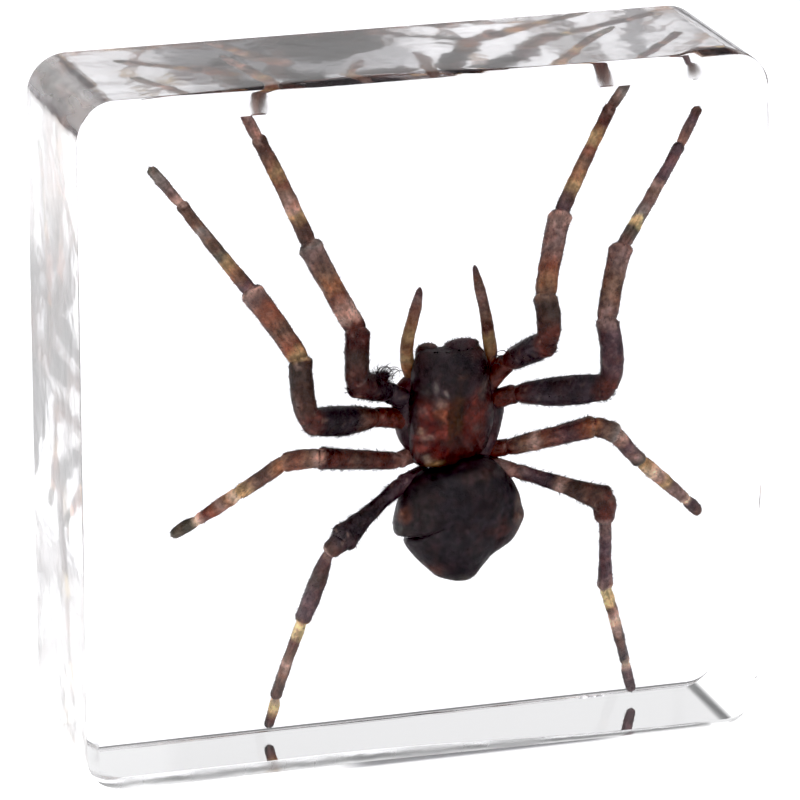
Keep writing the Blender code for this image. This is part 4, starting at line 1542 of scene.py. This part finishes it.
@dataclass
class Spider:
    """The whole spider: body, limbs, eyes and bristles."""

    cuticle: DriedCuticle = field(default_factory=DriedCuticle)
    bristle: SpiderBristle = field(default_factory=SpiderBristle)
    lens: EyeLens = field(default_factory=EyeLens)
    node: str = "spider"
    slot: str = "dried_cuticle"
    body_seed: int = 11
    leg_seed: int = 23

    def build(self) -> list[bpy.types.Object]:
        """Build every piece of the spider and tie it to the frame.

        Returns:
            The skin, the bristles of the body, the bristles of the legs, and the eyes.
        """
        body_skins = [part.skin() for part in BODY_PARTS] + [feeler.skin() for feeler in FEELERS]
        leg_skins = [skin for leg in LEGS for skin in leg.skins()]
        curls = [curl.skin() for curl in TUFT]
        bristle = self.bristle.material()
        pieces = [
            self.skin_piece("spider_skin", body_skins + leg_skins, self.cuticle.material()),
            self.bristle_piece("body_bristles", body_skins, curls, self.body_seed, bristle),
            self.bristle_piece("leg_bristles", leg_skins, [], self.leg_seed, bristle),
            self.skin_piece("eyes", Eyes().skins(body_skins[0]), self.lens.material()),
        ]
        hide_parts(self.node)
        for piece in pieces:
            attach(piece, ROOT_BODY)
        return pieces

    def skin_piece(self, name: str, skins: list[Skin], material: bpy.types.Material) -> bpy.types.Object:
        """Make one object of several skins.

        Args:
            name: the piece's name.
            skins: the skins.
            material: the material of all of them.

        Returns:
            The object.
        """
        sketch = Sketch()
        for skin in skins:
            sketch.add_skin(skin)
        return sketch.build(name, material)

    def bristle_piece(self, name: str, skins: list[Skin], curls: list[Skin], seed: int,
                      material: bpy.types.Material) -> bpy.types.Object:
        """Make one object of the bristles of several skins, and of curled ones.

        Args:
            name: the piece's name.
            skins: the skins that the bristles stand on.
            curls: the skins of the curled bristles.
            seed: what the random draws start from.
            material: the material of all the bristles.

        Returns:
            The object.
        """
        bristles = BristleField(seed)
        sown = sum(bristles.sow(skin) for skin in skins)
        for curl in curls:
            bristles.sketch.add_skin(curl)
        LOG.info("%s: %d bristles", name, sown + len(curls))
        return bristles.sketch.build(name, material)


# --------------------------------------------------------------------------- the block


@dataclass(frozen=True)
class Margin:
    """A nearly flat strip along part of a front edge, as a share of the edge.

    It widens from the first place of its start to the second, and narrows from the second
    place of its end to the first.
    """

    share: float
    start: Pair
    end: Pair

    def at(self, places: np.ndarray) -> np.ndarray:
        """Return the margin's share of the edge at places along it."""
        return self.share * (ramp(places, *self.start) * ramp(places, *self.end))


@dataclass
class ResinBlock:
    """The clear slab: square, with rounded corners and hand-polished edges.

    The front edges keep a crease where the flat face was ground after the edge was rounded.
    Each front edge starts with a nearly flat margin, whose angle is such that light is caught
    in the block: it shows as a dark line. The margin is wide where the polisher bore down.
    The block's width, depth and height are worked out from the frame.
    """

    finish: PolishedResin = field(default_factory=PolishedResin)
    name: str = "clear_block"
    halves: tuple[str, str] = ("resin_front", "resin_back")
    slot: str = "clear_resin"
    corner: float = 4.3
    front_edge: float = 1.1
    front_top_edge: float = 2.25
    front_bottom_edge: float = 2.1
    bottom_edge_least: float = 0.45
    bottom_edge_run: Pair = (28.0, -12.0)
    back_edge: float = 0.02
    back_bottom_edge: float = 0.35
    back_turns: Turns = ((0.0, 0.0), (0.3, 41.0), (1.0, 57.0))
    margin_angle: float = 13.0
    front_turn: Pair = (38.0, 65.0)
    turn_share: float = 0.08
    right_turn_share: float = 0.5
    least_margin: float = 0.03
    top_margin: Margin = Margin(0.48, (-32.0, -10.0), (13.0, 1.0))
    right_margin: Margin = Margin(0.5, (26.9, 29.3), (35.6, 34.4))
    left_margin: Margin = Margin(0.12, (19.0, 27.0), (64.0, 56.0))
    # How sharply a form keeps to its own side where the outline turns a corner.
    side_power: int = 4
    front_power: int = 2
    back_power: int = 6
    edge_haze: float = 1.0
    edge_fade: Pair = (1.0, 0.3)
    bottom_edge_haze: float = 1.1
    corner_haze: float = 0.42
    top_haze: float = 0.42
    side_haze: float = 0.55
    wear: Grain = Grain(1.2, 2.5, 2.0)
    least_wear: float = 0.6
    filing: Grain = Grain(3.2, 1.2, 5.0)
    # The marks of the file run from front to back.
    file_marks: Point = (1.0, 0.3, 1.0)
    clear_bottom: Pair = (-0.9, -0.3)
    hazy_edges: Pair = (0.0, 0.5)
    worn_bottom: Pair = (0.6, 1.0)
    corner_steps: int = 24
    side_steps: int = 24
    edge_steps: int = 20
    fine_steps: int = 40
    wall_steps: int = 24

    @cached_property
    def outline(self) -> np.ndarray:
        """Work out the outline, counterclockwise from the start of the upper right corner.

        Returns:
            Rows of arc centre (x, z) and outward direction (x, z).
        """
        rows = []
        middle = BLOCK_HEIGHT / 2
        across, up = BLOCK_WIDTH / 2 - self.corner, BLOCK_HEIGHT / 2 - self.corner
        signs = ((1, 1), (-1, 1), (-1, -1), (1, -1))
        for quarter, (right, top) in enumerate(signs):
            here = np.array((across * right, middle + up * top))
            for step in range(self.corner_steps + 1):
                angle = math.radians(90.0 * (quarter + step / self.corner_steps))
                rows.append((*here, math.cos(angle), math.sin(angle)))
            right, top = signs[(quarter + 1) % len(signs)]
            there = np.array((across * right, middle + up * top))
            for step in range(1, self.side_steps):
                rows.append((*(here + (there - here) * step / self.side_steps), *rows[-1][2:]))
        return np.array(rows)

    def margins(self) -> np.ndarray:
        """Work out how wide the front edge's nearly flat margin is.

        Returns:
            Its share of the edge, for each outline row.
        """
        x, z, across, rise = self.outline.T
        to_top = np.maximum(rise, 0.0) ** self.side_power
        to_left = np.maximum(-across, 0.0) ** self.side_power
        upper = (self.top_margin.at(x) + self.right_margin.at(x)) * to_top
        return self.least_margin + upper + self.left_margin.at(z) * to_left

    def front_turns(self) -> list[Turns]:
        """Work out how the front edge turns from the side to the face.

        Returns:
            The knots of its profile, for each outline row.
        """
        start, finish = self.front_turn
        to_right = np.maximum(self.outline[:, 2], 0.0) ** self.side_power
        shares = self.turn_share + self.right_turn_share * to_right
        return [((0.0, 0.0), (margin, self.margin_angle), (margin + share, start), (1.0, finish))
                for margin, share in zip(self.margins(), shares)]

    def edge_sizes(self) -> tuple[np.ndarray, np.ndarray]:
        """Work out how far the edges reach in from the outline.

        Returns:
            The reach of the front edge and that of the back edge, for each outline row.
        """
        x, _, _, rise = self.outline.T
        worn_down = self.bottom_edge_least + (1.0 - self.bottom_edge_least) * ramp(x, *self.bottom_edge_run)
        above, below = np.maximum(rise, 0.0), np.maximum(-rise, 0.0)
        front = (self.front_edge + (self.front_top_edge - self.front_edge) * above**self.front_power
                 + (self.front_bottom_edge * worn_down - self.front_edge) * below**self.front_power)
        back = self.back_edge + (self.back_bottom_edge - self.back_edge) * below**self.back_power
        return front, back

    def edge_profile(self, turns: Turns) -> np.ndarray:
        """Work out the rows of an edge of size 1, from the face's rim to the side.

        Args:
            turns: knots of the share of the edge's length, counted from the side, and the angle
                between the surface there and the side's own, in degrees.

        Returns:
            Rows of depth, inset, and the normal's forward and outward shares.
        """
        shares, angles = np.array(turns).T
        fine = np.linspace(1.0, 0.0, self.fine_steps * self.edge_steps + 1)
        lean = np.radians(np.interp(fine, shares, angles))
        depth = np.concatenate([[0.0], np.cumsum((np.cos(lean[1:]) + np.cos(lean[:-1])) / 2)])
        drop = np.concatenate([[0.0], np.cumsum((np.sin(lean[1:]) + np.sin(lean[:-1])) / 2)])
        rows = np.stack([depth / drop[-1], 1.0 - drop / drop[-1], np.sin(lean), np.cos(lean)], axis=1)
        return rows[:: self.fine_steps]

    def half(self, face_y: float, inward: float, sizes: np.ndarray,
             turns: list[Turns]) -> tuple[np.ndarray, np.ndarray]:
        """Work out one half's edge, from the face's rim to the side.

        Args:
            face_y: where the half's big face is.
            inward: 1 if the block lies behind that face, and -1 if it lies before it.
            sizes: how far the edge reaches, for each outline row.
            turns: the knots of the edge's profile, for each outline row.

        Returns:
            The rings of points and their normals.
        """
        outline = self.outline
        rows = np.stack([self.edge_profile(turn) for turn in turns], axis=1)
        depth, inset, forward, outward = np.moveaxis(rows, -1, 0)
        reach = self.corner - inset * sizes
        points = np.stack([outline[:, 0] + outline[:, 2] * reach, face_y + inward * depth * sizes,
                           outline[:, 1] + outline[:, 3] * reach], axis=-1)
        normals = np.stack([outline[:, 2] * outward, -inward * forward, outline[:, 3] * outward], axis=-1)
        return points, normals

    def surface(self) -> tuple[np.ndarray, np.ndarray]:
        """Work out the block's edges and narrow sides, from the front face's rim to the back's.

        Returns:
            The rings of points and their normals.
        """
        front_sizes, back_sizes = self.edge_sizes()
        back_turns = [self.back_turns] * len(self.outline)
        front, front_normals = self.half(-BLOCK_DEPTH / 2, 1.0, front_sizes, self.front_turns())
        back, back_normals = self.half(BLOCK_DEPTH / 2, -1.0, back_sizes, back_turns)
        share = np.linspace(0.0, 1.0, self.wall_steps + 1)[1:-1, None, None]
        wall = front[-1] * (1.0 - share) + back[-1] * share
        wall_normals = np.repeat(front_normals[-1:], len(wall), axis=0)
        rings = np.concatenate([front, wall, back[::-1]])
        return rings, np.concatenate([front_normals, wall_normals, back_normals[::-1]])

    def faces(self, normals: np.ndarray) -> tuple[list[list[int]], list[Point]]:
        """List the block's faces: the front, the edges and sides ring by ring, and the back.

        Args:
            normals: the normal of each point of each ring.

        Returns:
            Each face's points, and the normal of each corner of each face.
        """
        count, sides = normals.shape[:2]
        faces, face_normals = [list(range(sides))], [FORWARD] * sides
        for ring in range(count - 1):
            for i in range(sides):
                j = (i + 1) % sides
                corners = [(ring, i), (ring + 1, i), (ring + 1, j), (ring, j)]
                faces.append([r * sides + s for r, s in corners])
                face_normals += [tuple(normals[r, s]) for r, s in corners]
        faces.append([(count - 1) * sides + i for i in reversed(range(sides))])
        return faces, face_normals + [BACKWARD] * sides

    def haze(self, rings: np.ndarray) -> np.ndarray:
        """Work out the haze: none on the big faces and the bottom, and most on the edges.

        Args:
            rings: the rings of points.

        Returns:
            For each point, its share of the full haze.
        """
        _, _, across, rise = self.outline.T
        worn = np.maximum(1.0 + self.wear.at(rings[0] * np.array((1.0, 0.0, 1.0))), self.least_wear)
        filed = np.maximum(1.0 + self.filing.at(rings * np.array(self.file_marks)), 0.0)
        above = ramp(rise, *self.clear_bottom)
        corner = np.maximum(-2.0 * across * rise, 0.0) * (rise > 0.0)
        narrow = self.side_haze * np.maximum(-across, 0.0) + self.top_haze * np.maximum(rise, 0.0)
        haze = (narrow + self.corner_haze * corner * filed) * above
        edge = self.edge_steps - 1
        fade = np.linspace(*self.edge_fade, edge)[:, None] ** 2
        haze[1 : edge + 1] = self.edge_haze * fade * ramp(-across + rise, *self.hazy_edges) * above
        haze[1 : edge + 1] += self.bottom_edge_haze * worn * ramp(-rise, *self.worn_bottom)
        haze[0] = haze[-1] = 0.0
        return haze

    def build(self) -> bpy.types.Object:
        """Build the slab with exact normals, and let it stand for both resin halves.

        Returns:
            The object.
        """
        rings, normals = self.surface()
        faces, face_normals = self.faces(normals)
        mesh = bpy.data.meshes.new(self.name)
        mesh.from_pydata((rings.reshape(-1, 3) * MM).tolist(), [], faces)
        haze = mesh.attributes.new(HAZE, "FLOAT", "POINT")
        haze.data.foreach_set("value", self.haze(rings).ravel())
        mesh.shade_smooth()
        mesh.normals_split_custom_set(face_normals)
        mesh.materials.append(self.finish.material())
        block = place_object(self.name, mesh)
        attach(block, ROOT_BODY)
        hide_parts(*self.halves)
        return block


# --------------------------------------------------------------------------- studio


@dataclass(frozen=True)
class Slope:
    """A soft step across the sky along one axis, from nothing at start to top at end."""

    axis: str
    start: float
    end: float
    top: float = 1.0


@dataclass(frozen=True)
class Layer:
    """A change to the light of the sky: its slopes are multiplied, and light it up or shade it."""

    slopes: tuple[Slope, ...]
    shades: bool = False

    def over(self, tree: bpy.types.NodeTree, split: bpy.types.Node, level: object) -> bpy.types.NodeSocket:
        """Lay this layer over a level of light.

        Args:
            tree: the sky's node tree.
            split: the node that gives the three parts of the direction.
            level: the level so far, as a number or a socket.

        Returns:
            The new level.
        """
        share: object = 1.0
        for slope in self.slopes:
            step = add_node(tree, "ShaderNodeMapRange", {
                "Value": split.outputs[slope.axis], **spans((slope.start, slope.end), (0.0, slope.top))},
                interpolation_type="SMOOTHSTEP")
            share = add_node(tree, "ShaderNodeMath", {
                0: share, 1: step.outputs["Result"]}, operation="MULTIPLY").outputs[0]
        if not self.shades:
            return add_node(tree, "ShaderNodeMath", {0: level, 1: share}, operation="ADD").outputs[0]
        kept = add_node(tree, "ShaderNodeMath", {0: 1.0, 1: share}, operation="SUBTRACT").outputs[0]
        return add_node(tree, "ShaderNodeMath", {0: level, 1: kept}, operation="MULTIPLY").outputs[0]


@dataclass
class Studio:
    """A lit white table under the block, and soft light from all round, strongest overhead."""

    board: LightTable = field(default_factory=LightTable)
    board_size_m: float = 6.0
    board_drop: float = 0.05
    horizon: float = 0.26
    layers: tuple[Layer, ...] = (
        # The walls are dim and the ceiling is bright.
        Layer((Slope("Z", 0.0, 0.12, 0.02),)),
        Layer((Slope("Z", 0.12, 0.24, 0.72),)),
        # A broad window is high up in front.
        Layer((Slope("Z", 0.2, 0.5), Slope("Y", -0.1, -0.6, 0.6))),
        # The room behind is shaded high up.
        Layer((Slope("Y", 0.2, 0.45), Slope("Z", 0.36, 0.46, 0.75)), shades=True),
        # A lamp stands behind on the left.
        Layer((Slope("X", 0.1, -0.1), Slope("Y", 0.75, 0.85, 1.6))),
    )

    def build(self) -> None:
        """Lay the board and light the room."""
        mesh = bpy.data.meshes.new("board")
        reach = self.board_size_m / 2
        level = -self.board_drop * MM
        corners = [(x * reach, y * reach, level) for x, y in ((-1, -1), (1, -1), (1, 1), (-1, 1))]
        mesh.from_pydata(corners, [], [(0, 1, 2, 3)])
        mesh.materials.append(self.board.material())
        board = place_object("board", mesh)
        self.light_room()

    def light_room(self) -> None:
        """Give the sky its light, layer by layer."""
        world = bpy.data.worlds.new("soft_room")
        world.use_nodes = True
        tree = world.node_tree
        tree.nodes.clear()
        place = add_node(tree, "ShaderNodeTexCoord")
        split = add_node(tree, "ShaderNodeSeparateXYZ", {0: place.outputs["Generated"]})
        level: object = self.horizon
        for layer in self.layers:
            level = layer.over(tree, split, level)
        light = add_node(tree, "ShaderNodeBackground", {"Strength": level})
        output = add_node(tree, "ShaderNodeOutputWorld")
        tree.links.new(light.outputs["Background"], output.inputs["Surface"])
        bpy.context.scene.world = world


@dataclass
class BlockCamera:
    """A long lens to the left of the block and above it, with a level horizon."""

    azimuth: float = -17.2
    elevation: float = 18.1
    distance: float = 624.5
    target: Point = (-0.08, 0.0, 37.02)
    focal_length: float = 264.4
    sensor: float = 36.0
    clip_m: Pair = (0.05, 20.0)

    def build(self) -> None:
        """Place the camera and make it the scene's own."""
        turn, rise = math.radians(self.azimuth), math.radians(self.elevation)
        away = Vector((math.sin(turn) * math.cos(rise), -math.cos(turn) * math.cos(rise), math.sin(rise)))
        lens = bpy.data.cameras.new("camera")
        lens.lens = self.focal_length
        lens.sensor_width = self.sensor
        lens.clip_start, lens.clip_end = self.clip_m
        camera = bpy.data.objects.new("camera", lens)
        camera.location = (Vector(self.target) + away * self.distance) * MM
        camera.rotation_mode = "QUATERNION"
        camera.rotation_quaternion = (-away).to_track_quat("-Z", "Y")
        bpy.context.scene.collection.objects.link(camera)
        bpy.context.scene.camera = camera


@dataclass(frozen=True)
class Development:
    """How light is followed and how the picture is developed.

    Clear resin sends light to and fro between its faces, so paths are long. The black point
    takes off the veil that the front face's reflection of the board lays over the spider.
    """

    bounces: int = 40
    diffuse_bounces: int = 6
    black: float = 0.029
    white: float = 0.95

    def apply(self) -> None:
        """Set the path lengths, and the black and white points."""
        scene = bpy.context.scene
        scene.cycles.max_bounces = self.bounces
        scene.cycles.transmission_bounces = self.bounces
        scene.cycles.glossy_bounces = self.bounces
        scene.cycles.diffuse_bounces = self.diffuse_bounces
        view = scene.view_settings
        view.view_transform = "Standard"
        view.use_curve_mapping = True
        view.curve_mapping.black_level = (self.black, self.black, self.black)
        view.curve_mapping.white_level = (self.white, self.white, self.white)
        view.curve_mapping.update()


# --------------------------------------------------------------------------- all of it


def report(pieces: list[bpy.types.Object]) -> None:
    """Log each piece's name, size and number of faces.

    Args:
        pieces: the object's pieces.
    """
    for piece in pieces:
        size = [round(edge / MM, 1) for edge in piece.dimensions]
        LOG.info("%s: %s mm, %d faces", piece.name, size, len(piece.data.polygons))


def main() -> None:
    """Build the block, the spider, the studio and the camera in order, and report the pieces."""
    logging.basicConfig(level=logging.INFO, format="%(name)s: %(message)s")
    pieces = [ResinBlock().build()]
    pieces += Spider().build()
    Studio().build()
    BlockCamera().build()
    Development().apply()
    bpy.context.view_layer.update()
    report(pieces)


if __name__ == "__main__":
    main()
